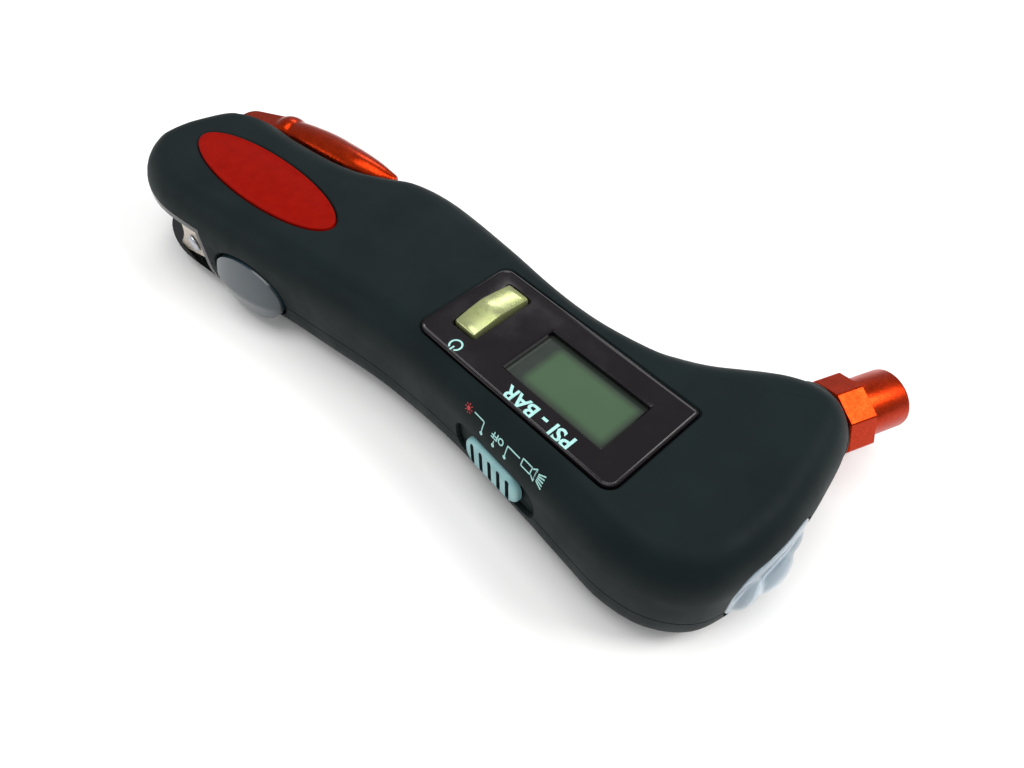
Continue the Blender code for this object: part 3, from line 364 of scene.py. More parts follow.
def combine(target, others, how):
    """Unite, cut or limit a solid with others, one after another, which uses them up."""
    for other in others:
        step = target.modifiers.new(other.name, "BOOLEAN")
        step.operation = how
        step.solver = "EXACT"
        step.object = other
        bake(target)
        bpy.data.objects.remove(other)
        shape = bmesh.new()
        shape.from_mesh(target.data)
        bmesh.ops.remove_doubles(shape, verts=shape.verts, dist=MERGE * MM)
        bmesh.ops.dissolve_degenerate(shape, edges=shape.edges, dist=MERGE * MM)
        shape.to_mesh(target.data)
        shape.free()
    return target


def add(target, *others):
    return combine(target, others, "UNION")


def cut(target, *others):
    return combine(target, others, "DIFFERENCE")


def keep(target, *others):
    return combine(target, others, "INTERSECT")


def melt(obj, voxel, rounds):
    """Run a joined solid together into one soft surface, as casting and blasting leave it."""
    remesh = obj.modifiers.new("melt", "REMESH")
    remesh.mode = "VOXEL"
    remesh.voxel_size = voxel * MM
    soften = obj.modifiers.new("soften", "SMOOTH")
    soften.iterations = rounds
    soften.factor = 0.5
    return bake(obj)


# --- finishes -----------------------------------------------------------------------------
def linear(hex_colour):
    """An sRGB hex colour as linear light, opaque."""
    channels = [int(hex_colour[i:i + 2], 16) / 255 for i in (0, 2, 4)]
    return (*(c / 12.92 if c <= 0.04045 else ((c + 0.055) / 1.055) ** 2.4 for c in channels), 1.0)


def step(tree, kind, inputs=None, **settings):
    """Add a node with its settings; inputs give each socket a value or another node's output."""
    made = tree.nodes.new(kind)
    for name, value in settings.items():
        setattr(made, name, value)
    for socket, value in (inputs or {}).items():
        if isinstance(value, bpy.types.NodeSocket):
            tree.links.new(value, made.inputs[socket])
        else:
            made.inputs[socket].default_value = value
    return made


def per_metre(size_mm):
    """Scale of a texture on metre coordinates whose marks are this far apart."""
    return 1.0 / (size_mm * MM)


class Finish:
    """A material being made: its tree, its shader and the pattern steps that finishes share."""

    def __init__(self, name, colour, **sockets):
        self.material = bpy.data.materials.new(name)
        self.material.use_nodes = True
        self.tree = self.material.node_tree
        self.shader = self.tree.nodes["Principled BSDF"]
        self.shader.inputs["Base Color"].default_value = colour
        for socket, value in sockets.items():
            self.shader.inputs[socket.replace("_", " ")].default_value = value
        self.place = self.step("ShaderNodeTexCoord").outputs["Object"]

    def step(self, kind, inputs=None, **settings):
        return step(self.tree, kind, inputs, **settings)

    def into(self, output, socket):
        self.tree.links.new(output, self.shader.inputs[socket])

    def noise(self, size_mm, detail=3.0, stretch=None):
        """Noise with marks of a real size, stretched along an axis where the marks are lines."""
        where = self.place
        if stretch is not None:
            where = self.step("ShaderNodeMapping", {"Vector": where, "Scale": stretch})
            where = where.outputs["Vector"]
        made = self.step("ShaderNodeTexNoise", {"Vector": where, "Scale": per_metre(size_mm),
                                                "Detail": detail, "Roughness": 0.55})
        return made.outputs["Fac"]

    def ramp(self, value, low, high, at=(0.35, 0.65)):
        """Take a value between two greys or colours as it goes from one level to the other."""
        made = self.step("ShaderNodeValToRGB", {"Fac": value})
        for point, where, colour in zip(made.color_ramp.elements, at, (low, high)):
            point.position = where
            point.color = colour if isinstance(colour, tuple) else (colour, colour, colour, 1.0)
        return made.outputs["Color"]

    def mottle(self, size_mm, other, at=(0.35, 0.65), detail=3.0):
        """Let the colour drift towards another over patches of a size."""
        base = tuple(self.shader.inputs["Base Color"].default_value)
        colour = self.ramp(self.noise(size_mm, detail), base, other, at)
        self.into(colour, "Base Color")
        return colour

    def uneven(self, size_mm, low, high, stretch=None):
        """Let the gloss drift, as handling and moulding leave it."""
        self.into(self.ramp(self.noise(size_mm, 4.0, stretch), low, high), "Roughness")

    def bumps(self, size_mm, height_mm, detail=2.0, stretch=None, strength=1.0):
        """Raise a grain of a real size and height."""
        made = self.step("ShaderNodeBump", {"Height": self.noise(size_mm, detail, stretch),
                                            "Distance": height_mm * MM, "Strength": strength})
        self.into(made.outputs["Normal"], "Normal")
        return made


def soft_touch_abs(colour):
    """ABS with a sprayed soft-touch coat: nearly black, dry and a little powdery, fine-grained."""
    made = Finish("ABS, soft-touch coated", colour, IOR=1.45, Roughness=0.55,
                  Specular_IOR_Level=0.08, Sheen_Weight=0.02, Sheen_Roughness=0.5)
    made.mottle(14.0, linear("121C1D"))
    made.uneven(9.0, 0.48, 0.62)
    # The coat's grain is about 0.08 mm and is drawn at 0.3 mm, so that it shows at all.
    made.bumps(0.3, 0.012)
    return made.material


def polished_abs():
    """ABS from a mirror-polished mould: black with a red cast, faint wipe marks in the gloss."""
    made = Finish("ABS, polished", linear("100B0E"), IOR=1.54, Roughness=0.1,
                  Specular_IOR_Level=0.3)
    made.uneven(6.0, 0.07, 0.16)
    made.bumps(12.0, 0.02, 1.0, strength=0.3)
    return made.material


def glossy_abs():
    """ABS moulded glossy: deep black with the slight waviness of a sink mark."""
    made = Finish("ABS, glossy moulded", linear("0D0F11"), IOR=1.54, Roughness=0.18)
    made.uneven(4.0, 0.12, 0.26)
    made.bumps(5.0, 0.05, 1.0, strength=0.4)
    return made.material


def matte_abs(name, colour, other, roughness):
    """ABS moulded with a spark-eroded grain, 0.2 mm across: coloured through, softly matt."""
    made = Finish(name, linear(colour), IOR=1.54, Roughness=roughness)
    made.mottle(5.0, linear(other))
    made.uneven(3.0, roughness - 0.06, roughness + 0.08)
    made.bumps(0.2, 0.008)
    return made.material


def satin_abs(colour):
    """ABS moulded smooth, grey-blue: broad satin highlights with a slight flow-line tint."""
    made = Finish("ABS, satin moulded", colour, IOR=1.54, Roughness=0.24, Coat_Weight=0.3,
                  Coat_Roughness=0.1)
    made.mottle(7.0, linear("1A2B31"), detail=1.0)
    made.bumps(3.0, 0.02, 1.0, strength=0.3)
    return made.material


def plated_abs(colour):
    """ABS, vacuum plated pale gold: bright as metal, softly uneven where the plating is thin."""
    made = Finish("ABS, plated pale gold", colour, Metallic=0.75, Roughness=0.26)
    made.mottle(3.5, linear("AEB67A"), (0.4, 0.62), 2.0)
    made.uneven(2.0, 0.2, 0.32)
    made.bumps(0.5, 0.01, strength=0.4)
    return made.material


def anodised_aluminium(name, colour, roughness, grain_mm, height_mm):
    """Aluminium, blasted and anodised orange: saturated metal whose grain sparkles in light."""
    made = Finish(name, colour, Metallic=1.0, Roughness=roughness)
    made.mottle(grain_mm * 1.5, linear("B8340F"), (0.3, 0.75), 2.0)
    made.uneven(2.5, roughness - 0.03, roughness + 0.06)
    made.bumps(grain_mm, height_mm)
    return made.material


def red_polycarbonate(colour):
    """Polycarbonate, dark red, with an etched 0.4 mm texture that hides the lamps below it."""
    made = Finish("Polycarbonate, red etched", colour, IOR=1.586, Roughness=0.36,
                  Specular_IOR_Level=0.03)
    made.mottle(2.6, linear("880C00"), (0.3, 0.7), 4.0)
    made.uneven(1.2, 0.3, 0.5)
    made.bumps(0.4, 0.03)
    return made.material


def clear_polycarbonate():
    """Polycarbonate, clear: bends what lies behind it, with a faint cold tint in its thickness."""
    made = Finish("Polycarbonate, clear", linear("C6D8E4"), IOR=1.586, Roughness=0.08,
                  Transmission_Weight=0.7)
    made.uneven(3.0, 0.06, 0.18)
    made.bumps(2.2, 0.06, 1.0, strength=0.5)
    return made.material


def display_glass():
    """Glass over a resting liquid-crystal cell: grey-green, with painted shade darkening its
    margin, most towards the handle end.
    """
    made = Finish("Glass, liquid-crystal cell", linear("3F553D"), IOR=1.52, Roughness=0.12,
                  Specular_IOR_Level=0.35)
    across = (LCD["x0"] + LCD["x1"]) / 2 + LCD_SHIFT
    middle = TO_FRAME @ Vector((across, (LCD["y0"] + LCD["y1"]) / 2, 0))
    half = Vector((*LCD_UNSHADED_FIELD, 0)) * MM / 2
    from_middle = made.step("ShaderNodeVectorMath", {0: made.place, 1: (*middle[:2], 0.0)},
                            operation="SUBTRACT").outputs[0]
    flat = made.step("ShaderNodeVectorMath", {0: from_middle, 1: (1.0, 1.0, 0.0)},
                     operation="MULTIPLY").outputs[0]
    size = made.step("ShaderNodeVectorMath", {0: flat}, operation="ABSOLUTE").outputs[0]
    past = made.step("ShaderNodeVectorMath", {0: size, 1: tuple(half)},
                     operation="SUBTRACT").outputs[0]
    out = made.step("ShaderNodeVectorMath", {0: past, 1: (0.0, 0.0, 0.0)},
                    operation="MAXIMUM").outputs[0]
    distance = made.step("ShaderNodeVectorMath", {0: out}, operation="LENGTH").outputs["Value"]
    share = made.step("ShaderNodeMath", {0: distance, 1: per_metre(LCD_SHADE_FADE)},
                      operation="MULTIPLY").outputs[0]
    # Painted shade: the colour darkens from the clear field to 2C322D over the window's margin.
    made.into(made.ramp(share, linear("3F553D"), linear("2C322D"), (0.1, 0.9)), "Base Color")
    made.uneven(5.0, 0.1, 0.18)
    return made.material


def steel(name, colour, roughness, line_mm, stretch):
    """Steel with fine drawn or ground lines: grey and warm, its highlights pulled across them."""
    made = Finish(name, linear(colour), Metallic=1.0, Roughness=roughness)
    made.uneven(line_mm, roughness - 0.08, roughness + 0.12, stretch)
    made.bumps(line_mm, 0.01, 3.0, stretch, 0.5)
    return made.material


def plated(name, colour, other, roughness):
    """A thin bright plating or turned metal: smooth, with the faint haze of handling."""
    made = Finish(name, linear(colour), Metallic=1.0, Roughness=roughness)
    made.mottle(4.0, linear(other))
    made.uneven(2.0, max(roughness - 0.05, 0.03), roughness + 0.1)
    made.bumps(0.6, 0.004, strength=0.4)
    return made.material


def elastomer(name, colour, other, roughness):
    """Moulded rubber, silicone or cable sheath: soft, dull, with a little bloom on it."""
    made = Finish(name, linear(colour), IOR=1.45, Roughness=roughness, Sheen_Weight=0.1)
    made.mottle(3.0, linear(other))
    made.uneven(1.5, roughness - 0.1, min(roughness + 0.1, 1.0))
    made.bumps(0.25, 0.006)
    return made.material


def circuit_laminate():
    """Glass-epoxy laminate under green solder mask, with copper tracks 0.8 mm apart."""
    made = Finish("FR-4 laminate, solder mask", linear("1F5A34"), IOR=1.5, Roughness=0.32,
                  Coat_Weight=0.3)
    lines = made.step("ShaderNodeTexBrick", {
        "Vector": made.place, "Scale": per_metre(4.0), "Color1": linear("1F5A34"),
        "Color2": linear("24663B"), "Mortar": linear("3E8A55"), "Mortar Size": 0.03})
    made.into(lines.outputs["Color"], "Base Color")
    made.bumps(0.8, 0.01, 1.0, strength=0.5)
    return made.material


def pad_ink(name, colour, thin):
    """Two-part ink, pad printed: a thin, dry film, weaker in colour where it went on thin."""
    made = Finish(name, linear(colour), Roughness=0.5)
    made.mottle(0.5, linear(thin), (0.45, 0.8))
    made.bumps(0.3, 0.004)
    return made.material


FINISHES = {                   # short name: what makes the material, from the colours
    "casing": lambda look: soft_touch_abs(tuple(look.casing)),
    "panel": lambda look: polished_abs(),
    "liner": lambda look: glossy_abs(),
    "display": lambda look: display_glass(),
    "key": lambda look: plated_abs(tuple(look.key)),
    "slider": lambda look: matte_abs("ABS, blue-green moulded", "74A3A6", "88B3B4", 0.38),
    # Painted shade: the switch's grooves take this darker colour where shade falls in them.
    "groove": lambda look: matte_abs("ABS, painted groove shade", "15242A", "1B2D33", 0.5),
    "release": lambda look: satin_abs(tuple(look.release)),
    "nozzle": lambda look: anodised_aluminium("Aluminium, blasted and anodised",
                                              tuple(look.anodising), 0.34, 0.28, 0.02),
    "arm": lambda look: anodised_aluminium("Aluminium, polished and anodised",
                                           tuple(look.anodising), 0.27, 0.35, 0.001),
    "beacon": lambda look: red_polycarbonate(tuple(look.beacon)),
    "clear": lambda look: clear_polycarbonate(),
    "blade": lambda look: steel("Steel, stainless ground", "C2B6A8", 0.3, 0.25, (1, 1, 14)),
    "driver": lambda look: steel("Steel, chrome-vanadium", "A8A29A", 0.28, 0.3, (1, 12, 12)),
    "zinc": lambda look: plated("Steel, zinc plated", "B9BCC0", "A5A8AE", 0.3),
    "nickel": lambda look: plated("Steel, nickel plated", "C2BDB4", "B0ABA2", 0.24),
    "mirror": lambda look: plated("ABS, vacuum metallised", "DCDDE0", "D2D4D8", 0.08),
    "brass": lambda look: plated("Brass, turned", "C9A34A", "B98F38", 0.28),
    "rubber": lambda look: elastomer("Nitrile rubber, moulded", "1B1B1C", "232324", 0.75),
    "silicone": lambda look: elastomer("Silicone, moulded", "C8C4BA", "BDB8AC", 0.55),
    "board": lambda look: circuit_laminate(),
    "chip": lambda look: matte_abs("Epoxy, moulded black", "1E1F22", "26272A", 0.45),
    "sensor": lambda look: matte_abs("Thermoplastic, white moulded", "D8D8D0", "CFCFC6", 0.45),
    "wire_red": lambda look: elastomer("PVC sheath, red", "B01818", "A01414", 0.4),
    "wire_black": lambda look: elastomer("PVC sheath, black", "151515", "1C1C1C", 0.4),
    "ink": lambda look: pad_ink("Ink, pad printed pale", "9FD0CA", "86BAB4"),
    "ink_red": lambda look: pad_ink("Ink, pad printed red", "B01C24", "93222A"),
}
MADE = {}


def finish(name):
    """The material with a short name, made the first time that it is asked for."""
    if name not in MADE:
        MADE[name] = FINISHES[name](bpy.context.scene.gauge_colours)
    return MADE[name]


def piece(obj, material, stands_for=(), body="casing", sharp=32.0):
    """Finish a piece: its material, its shading, the body it rides on, what it stands for."""
    if not obj.data.materials:
        obj.data.materials.append(finish(material))
    obj.data.shade_smooth()
    obj.data.set_sharp_from_angle(angle=math.radians(sharp))
    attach(obj, body)
    if stands_for:
        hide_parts(*stands_for)
    return obj


# --- what repeats, in geometry nodes ------------------------------------------------------
def new_tree(name, sizes):
    """A geometry tree with a named input for each size and its default."""
    tree = bpy.data.node_groups.new(name, "GeometryNodeTree")
    tree.interface.new_socket("Geometry", in_out="INPUT", socket_type="NodeSocketGeometry")
    for label, default in sizes.items():
        kind = "NodeSocketInt" if isinstance(default, int) else "NodeSocketFloat"
        socket = tree.interface.new_socket(label, in_out="INPUT", socket_type=kind)
        socket.default_value = default
    tree.interface.new_socket("Material", in_out="INPUT", socket_type="NodeSocketMaterial")
    tree.interface.new_socket("Geometry", in_out="OUTPUT", socket_type="NodeSocketGeometry")
    return tree, tree.nodes.new("NodeGroupInput").outputs


def end_tree(tree, geometry, given):
    """Close a tree the way all of them end: instances made real, then the material set."""
    real = step(tree, "GeometryNodeRealizeInstances", {"Geometry": geometry})
    painted = step(tree, "GeometryNodeSetMaterial", {"Geometry": real.outputs[0],
                                                     "Material": given["Material"]})
    out = tree.nodes.new("NodeGroupOutput")
    tree.links.new(painted.outputs[0], out.inputs[0])
    return tree


def screw_tree():
    """Screws at an object's points: a shank, a domed or flat head and a cross recess in it."""
    tree, given = new_tree("cross_head_screws", {
        "Head Base Radius": 2.5 * MM, "Head Face Radius": 1.9 * MM, "Head Height": 1.8 * MM,
        "Shank Radius": 1.15 * MM, "Shank Length": 10.8 * MM, "Recess Width": 0.6 * MM,
        "Recess Length": 3.0 * MM, "Recess Depth": 0.9 * MM, "Sides": 32})
    head = step(tree, "GeometryNodeMeshCone", {
        "Vertices": given["Sides"], "Radius Top": given["Head Base Radius"],
        "Radius Bottom": given["Head Face Radius"], "Depth": given["Head Height"]})
    whole = step(tree, "ShaderNodeMath", {0: given["Shank Length"], 1: given["Head Height"]},
                 operation="ADD").outputs[0]
    shank = step(tree, "GeometryNodeMeshCylinder", {
        "Vertices": given["Sides"], "Radius": given["Shank Radius"], "Depth": whole})
    lift = step(tree, "ShaderNodeMath", {0: whole, 1: 0.5, 2: 0.2 * MM},
                operation="MULTIPLY_ADD").outputs[0]
    up = step(tree, "ShaderNodeCombineXYZ", {"Z": lift}).outputs[0]
    lifted = step(tree, "GeometryNodeTransform", {
        "Geometry": shank.outputs["Mesh"], "Translation": up})
    body = step(tree, "GeometryNodeMeshBoolean", {"Mesh 2": head.outputs["Mesh"]},
                operation="UNION", solver="EXACT")
    tree.links.new(lifted.outputs[0], body.inputs["Mesh 2"])
    cutting = step(tree, "GeometryNodeMeshBoolean", {"Mesh 1": body.outputs["Mesh"]},
                   operation="DIFFERENCE", solver="EXACT")
    # The second bar is a little deeper, so that no two faces of the cutter coincide.
    for across, along, depth in (("Recess Length", "Recess Width", 2.0),
                                 ("Recess Width", "Recess Length", 2.1)):
        deep = step(tree, "ShaderNodeMath", {0: given["Recess Depth"], 1: depth},
                    operation="MULTIPLY").outputs[0]
        size = step(tree, "ShaderNodeCombineXYZ", {
            "X": given[across], "Y": given[along], "Z": deep}).outputs[0]
        bar = step(tree, "GeometryNodeMeshCube", {"Size": size})
        tree.links.new(bar.outputs["Mesh"], cutting.inputs["Mesh 2"])
    at_points = step(tree, "GeometryNodeInstanceOnPoints", {
        "Points": given["Geometry"], "Instance": cutting.outputs["Mesh"]})
    return end_tree(tree, at_points.outputs[0], given)


def bars_tree():
    """A row of equal bars with round ends, side by side: ribs, or the cutter of grooves."""
    tree, given = new_tree("bars_in_a_row", {
        "Count": 5, "Pitch": 2.4 * MM, "Width": 0.9 * MM, "Length": 5.8 * MM,
        "Depth": 1.8 * MM, "Sides": 24})
    half = step(tree, "ShaderNodeMath", {0: given["Width"], 1: 0.5},
                operation="MULTIPLY").outputs[0]
    run = step(tree, "ShaderNodeMath", {0: given["Length"], 1: given["Width"]},
               operation="SUBTRACT").outputs[0]
    line = step(tree, "GeometryNodeCurvePrimitiveLine")
    for end, share in (("Start", -0.5), ("End", 0.5)):
        reach = step(tree, "ShaderNodeMath", {0: run, 1: share}, operation="MULTIPLY").outputs[0]
        at = step(tree, "ShaderNodeCombineXYZ", {"Y": reach}).outputs[0]
        tree.links.new(at, line.inputs[end])
    ends = step(tree, "GeometryNodeMeshCylinder", {
        "Vertices": given["Sides"], "Radius": half, "Depth": given["Depth"]})
    both = step(tree, "GeometryNodeCurveToPoints", {"Curve": line.outputs[0], "Count": 2},
                mode="COUNT")
    caps = step(tree, "GeometryNodeInstanceOnPoints", {
        "Points": both.outputs["Points"], "Instance": ends.outputs["Mesh"]})
    real = step(tree, "GeometryNodeRealizeInstances", {"Geometry": caps.outputs[0]})
    bar = step(tree, "GeometryNodeConvexHull", {"Geometry": real.outputs[0]})
    back = step(tree, "ShaderNodeMath", {0: given["Count"], 1: -0.5, 2: 0.5},
                operation="MULTIPLY_ADD").outputs[0]
    first = step(tree, "ShaderNodeMath", {0: given["Pitch"], 1: back},
                 operation="MULTIPLY").outputs[0]
    row = step(tree, "GeometryNodeMeshLine", {
        "Count": given["Count"],
        "Offset": step(tree, "ShaderNodeCombineXYZ", {"X": given["Pitch"]}).outputs[0],
        "Start Location": step(tree, "ShaderNodeCombineXYZ", {"X": first}).outputs[0]})
    all_bars = step(tree, "GeometryNodeInstanceOnPoints", {
        "Points": row.outputs["Mesh"], "Instance": bar.outputs["Convex Hull"]})
    return end_tree(tree, all_bars.outputs[0], given)


def coil_tree():
    """A coil spring: a round wire along a spiral that may narrow to one end."""
    tree, given = new_tree("coil_spring", {
        "Turns": 4.0, "Start Radius": 2.6 * MM, "End Radius": 2.6 * MM,
        "Length": SPRING_LENGTH * MM,
        "Wire Radius": 0.3 * MM, "Steps": 28})
    spiral = step(tree, "GeometryNodeCurveSpiral", {
        "Resolution": given["Steps"], "Rotations": given["Turns"],
        "Start Radius": given["Start Radius"], "End Radius": given["End Radius"],
        "Height": given["Length"]})
    wire = step(tree, "GeometryNodeCurvePrimitiveCircle", {
        "Resolution": 10, "Radius": given["Wire Radius"]}, mode="RADIUS")
    swept = step(tree, "GeometryNodeCurveToMesh", {
        "Curve": spiral.outputs[0], "Profile Curve": wire.outputs[0], "Fill Caps": True})
    return end_tree(tree, swept.outputs[0], given)


def grow(name, tree, sizes, material, where=None, points=None):
    """Run a tree on a new object, keep the mesh that it makes and put it in its place."""
    mesh = bpy.data.meshes.new(name)
    mesh.from_pydata([Vector(point) * MM for point in points or [(0, 0, 0)]], [], [])
    obj = bpy.data.objects.new(name, mesh)
    bpy.context.scene.collection.objects.link(obj)
    maker = obj.modifiers.new(tree.name, "NODES")
    maker.node_group = tree
    sockets = {item.name: item.identifier for item in tree.interface.items_tree
               if item.in_out == "INPUT"}
    for label, value in {**sizes, "Material": finish(material)}.items():
        maker[sockets[label]] = value
    bake(obj)
    shape = bmesh.new()
    shape.from_mesh(obj.data)
    bmesh.ops.scale(shape, vec=(1 / MM,) * 3, verts=shape.verts)
    bmesh.ops.remove_doubles(shape, verts=shape.verts, dist=MERGE)
    bmesh.ops.recalc_face_normals(shape, faces=shape.faces)
    bmesh.ops.transform(shape, matrix=TO_FRAME @ (where or Matrix()), verts=shape.verts)
    shape.to_mesh(obj.data)
    shape.free()
    return obj


# --- casing -------------------------------------------------------------------------------
def casing_ring(plan, inset, height):
    path = smooth_path(plan, OUTLINE_STEPS, closed=True)
    return [(x, y, height) for x, y in moved_in(path, inset)]


def edge_rings(plan, margin, top):
    """Rings from mid-height up or down over the rounded edge, `margin` inside the surface."""
    count = bpy.context.scene.gauge_sizes.edge_steps
    reach, rise = EDGE_IN - margin, EDGE_UP - margin
    rings = []
    for k in range(count + 1):
        angle = math.pi / 2 * k / count
        lift = rise * math.sin(angle)
        height = THICKNESS - EDGE_UP + lift if top else EDGE_UP - lift
        rings.append(casing_ring(plan, margin + reach * (1 - math.cos(angle)), height))
    # A narrow flat ring keeps the broad face's shading flat up to its border.
    rings.append(casing_ring(plan, margin + reach + FLAT_BORDER, height))
    return rings


def casing_shell(name, top):
    plan = PLAN_TOP if top else PLAN_LOW
    rim = PARTING + SEAM / 2 if top else PARTING - SEAM / 2
    outside = edge_rings(plan, 0.0, top)[::-1]
    outside.append(casing_ring(plan, 0.0, rim + LIP if top else rim - LIP))
    outside.append(casing_ring(plan, LIP, rim))
    inside = [casing_ring(plan, WALL, rim)] + edge_rings(plan, WALL, top)
    return skin(name, outside + inside)


def casing_solid(name, plan, margin=0.0):
    return skin(name, edge_rings(plan, margin, False)[::-1] + edge_rings(plan, margin, True))


def clipped(obj, margin, plan):
    """Keep only what lies inside the casing's surface."""
    return keep(obj, casing_solid(obj.name + "_limit", plan, margin))


def neck(name, low_half):
    """The round boss at the nozzle, with its thickened lip."""
    profile = [(0.0, 0.0), (6.9, 0.0), (7.4, -0.3), (7.8, -1.0), (7.9, -2.4), (7.8, -3.4),
               (8.2, -4.6), (8.8, -6.4), (9.4, -9.0), (9.4, -10.5), (0.0, -10.5)]
    limit = (-20.0, LOW_FUSE) if low_half else (TOP_FUSE, 40.0)
    return keep(turned(name, profile, NOZZLE_PLACE, 72),
                block(name + "_half", (10, 50), (10, 50), limit))


def nozzle_bore(name):
    profile = [(0.0, 2.0), (5.2, 2.0), (5.2, 0.0), (4.9, -0.4), (4.9, -6.9), (7.1, -6.9),
               (7.1, -9.6), (4.9, -9.6), (4.9, -14.0), (0.0, -14.0)]
    return turned(name, profile, NOZZLE_PLACE)


def torch_prism(name, margin):
    y0, y1, z0, z1 = TORCH_WINDOW
    outline = rounded_rectangle(y0 + margin, y1 - margin, z0 + margin, z1 - margin, 4.5)
    return plate(name, outline, [(0.0, 30.0), (0.0, 46.0)], place(rx=90, rz=90))


def slider_cutters(name):
    length, height = SLIDER_SIZE
    reach = length / 2 + SLIDER_TRAVEL + 0.4
    wide = rounded_rectangle(-reach, reach, -height / 2 - 0.4, height / 2 + 0.4, 3.0)
    recess = plate(name + "_recess", wide, [(0.0, -1.0), (0.0, -0.5), (-0.6, 0.5), (-0.6, 4.0)],
                   SLIDER_FACE)
    return recess, block(name + "_slot", (-6.2, 6.2), (-1.0, 6.0), (-2.1, 2.1), SLIDER_PLACE)


def release_hole(name):
    length, height = RELEASE_SIZE
    outline = oval(length + 0.8, height + 0.8)
    return plate(name, outline, [(0.0, -4.0), (0.0, -0.5), (-0.5, 0.3), (-0.5, 6.0)],
                 RELEASE_FACE)


def belt_slot(name):
    return boxed(name, CUTTER_SLOT, (CUTTER_SLOT["z0"], CUTTER_SLOT["z1"]))


def arm_swing(name):
    """Room for the arm's eye and tongue, outward from the pivot over the whole swing."""
    px, py = PIVOT_AT
    outline = arc(4.2, 226, 316, 15, px, py)
    outline += [(px + 12, py + 1), (px + 12, py + 20), (px - 14, py + 20), (px - 14, py + 4)]
    return plate(name, outline, [(0.0, SHELF_TOP), (0.0, 30.0)])


def arm_room(name):
    path = smooth_path(ARM_PATH, 6)
    route = [(x, y, ARM_Z) for x, y, _ in path]
    body = tube(name, route, [r + ARM_ROOM for _, _, r in path], sides=36)
    return add(body, ball(name + "_ball", (5.0, 5.0, 5.0), (*ARM_PATH[0][:2], ARM_Z)))


def shared_openings(half):
    """Cutters of the openings that run through both halves of the casing."""
    return [*slider_cutters("slider_" + half), torch_prism("torch_hole_" + half, 0.0),
            nozzle_bore("bore_" + half), belt_slot("belt_slot_" + half),
            release_hole("release_hole_" + half)]


def make_top_casing():
    shell = casing_shell("casing_upper", True)
    eye = cylinder("eye_block", 5.9, TOP_FUSE, THICKNESS, place(PIVOT_AT), 48)
    pad = ball("ball_block", (6.6, 6.6, 6.6), (*ARM_PATH[0][:2], ARM_Z))
    bosses = [clipped(cylinder(f"boss_top_{i}", 3.0, TOP_FUSE, THICKNESS - 1.0, place(where)),
                      1.0, PLAN_TOP) for i, where in enumerate(CASE_SCREWS)]
    posts = [cylinder(f"beacon_post_{i}", 1.4, 18.5, 22.5, place(where), 24)
             for i, where in enumerate([(-100.8, -9.2), (-70.3, -7.0)])]
    add(shell, clipped(eye, WALL / 2, PLAN_TOP), clipped(pad, WALL / 2, PLAN_TOP),
        neck("neck_top", False), *bosses, *posts)
    pocket = rounded_bounds(PANEL, GAP, first=1.1)
    length, width = BEACON_SIZE
    x, y = POWER_AT
    holes = [plate("panel_pocket", pocket, [(0.0, PANEL["bottom"] - GAP), (0.0, 23.7),
                                            (-0.3, 24.0), (-0.3, 30.0)]),
             block("lcd_hole", (-15.0, 13.2), (-8.1, 8.6), (18.0, 24.0)),
             block("power_hole", (x - 3.4, x + 3.4), (y - 7.3, y + 7.3), (18.0, 24.0)),
             plate("beacon_pocket", oval(length + 0.6, width + 0.6),
                   [(0.0, 22.75), (0.0, 23.7), (-0.3, 24.0), (-0.3, 30.0)], BEACON_PLACE),
             plate("beacon_hole", oval(length - 3.4, width - 3.4), [(0.0, 18.0), (0.0, 24.0)],
                   BEACON_PLACE)]
    holes += [cylinder(f"pilot_{i}", 1.45, PARTING - 2, PARTING + 6, place(where))
              for i, where in enumerate(CASE_SCREWS)]
    cut(shell, *holes, *shared_openings("top"), arm_room("arm_room"), arm_swing("swing"),
        cylinder("shelf_gap", 4.2, 0.0, SHELF_TOP + 1.0, place(PIVOT_AT), 48))
    return piece(shell, "casing", ["top_casing"])


def arm_shelf():
    """The roof of the lower half where it stands out under the arm."""
    roof = clipped(block("arm_shelf", (-125.0, -61.0), (-4.0, 30.0), (7.4, SHELF_TOP)), 0.12,
                   PLAN_LOW)
    inside = skin("shelf_inside", [casing_ring(PLAN_TOP, -GAP, height)
                                   for height in (PARTING - GAP / 2, 20.0)])
    hollow = skin("shelf_hollow", [casing_ring(PLAN_TOP, WALL, height)
                                   for height in (5.0, 20.0)])
    return cut(roof, inside, hollow)


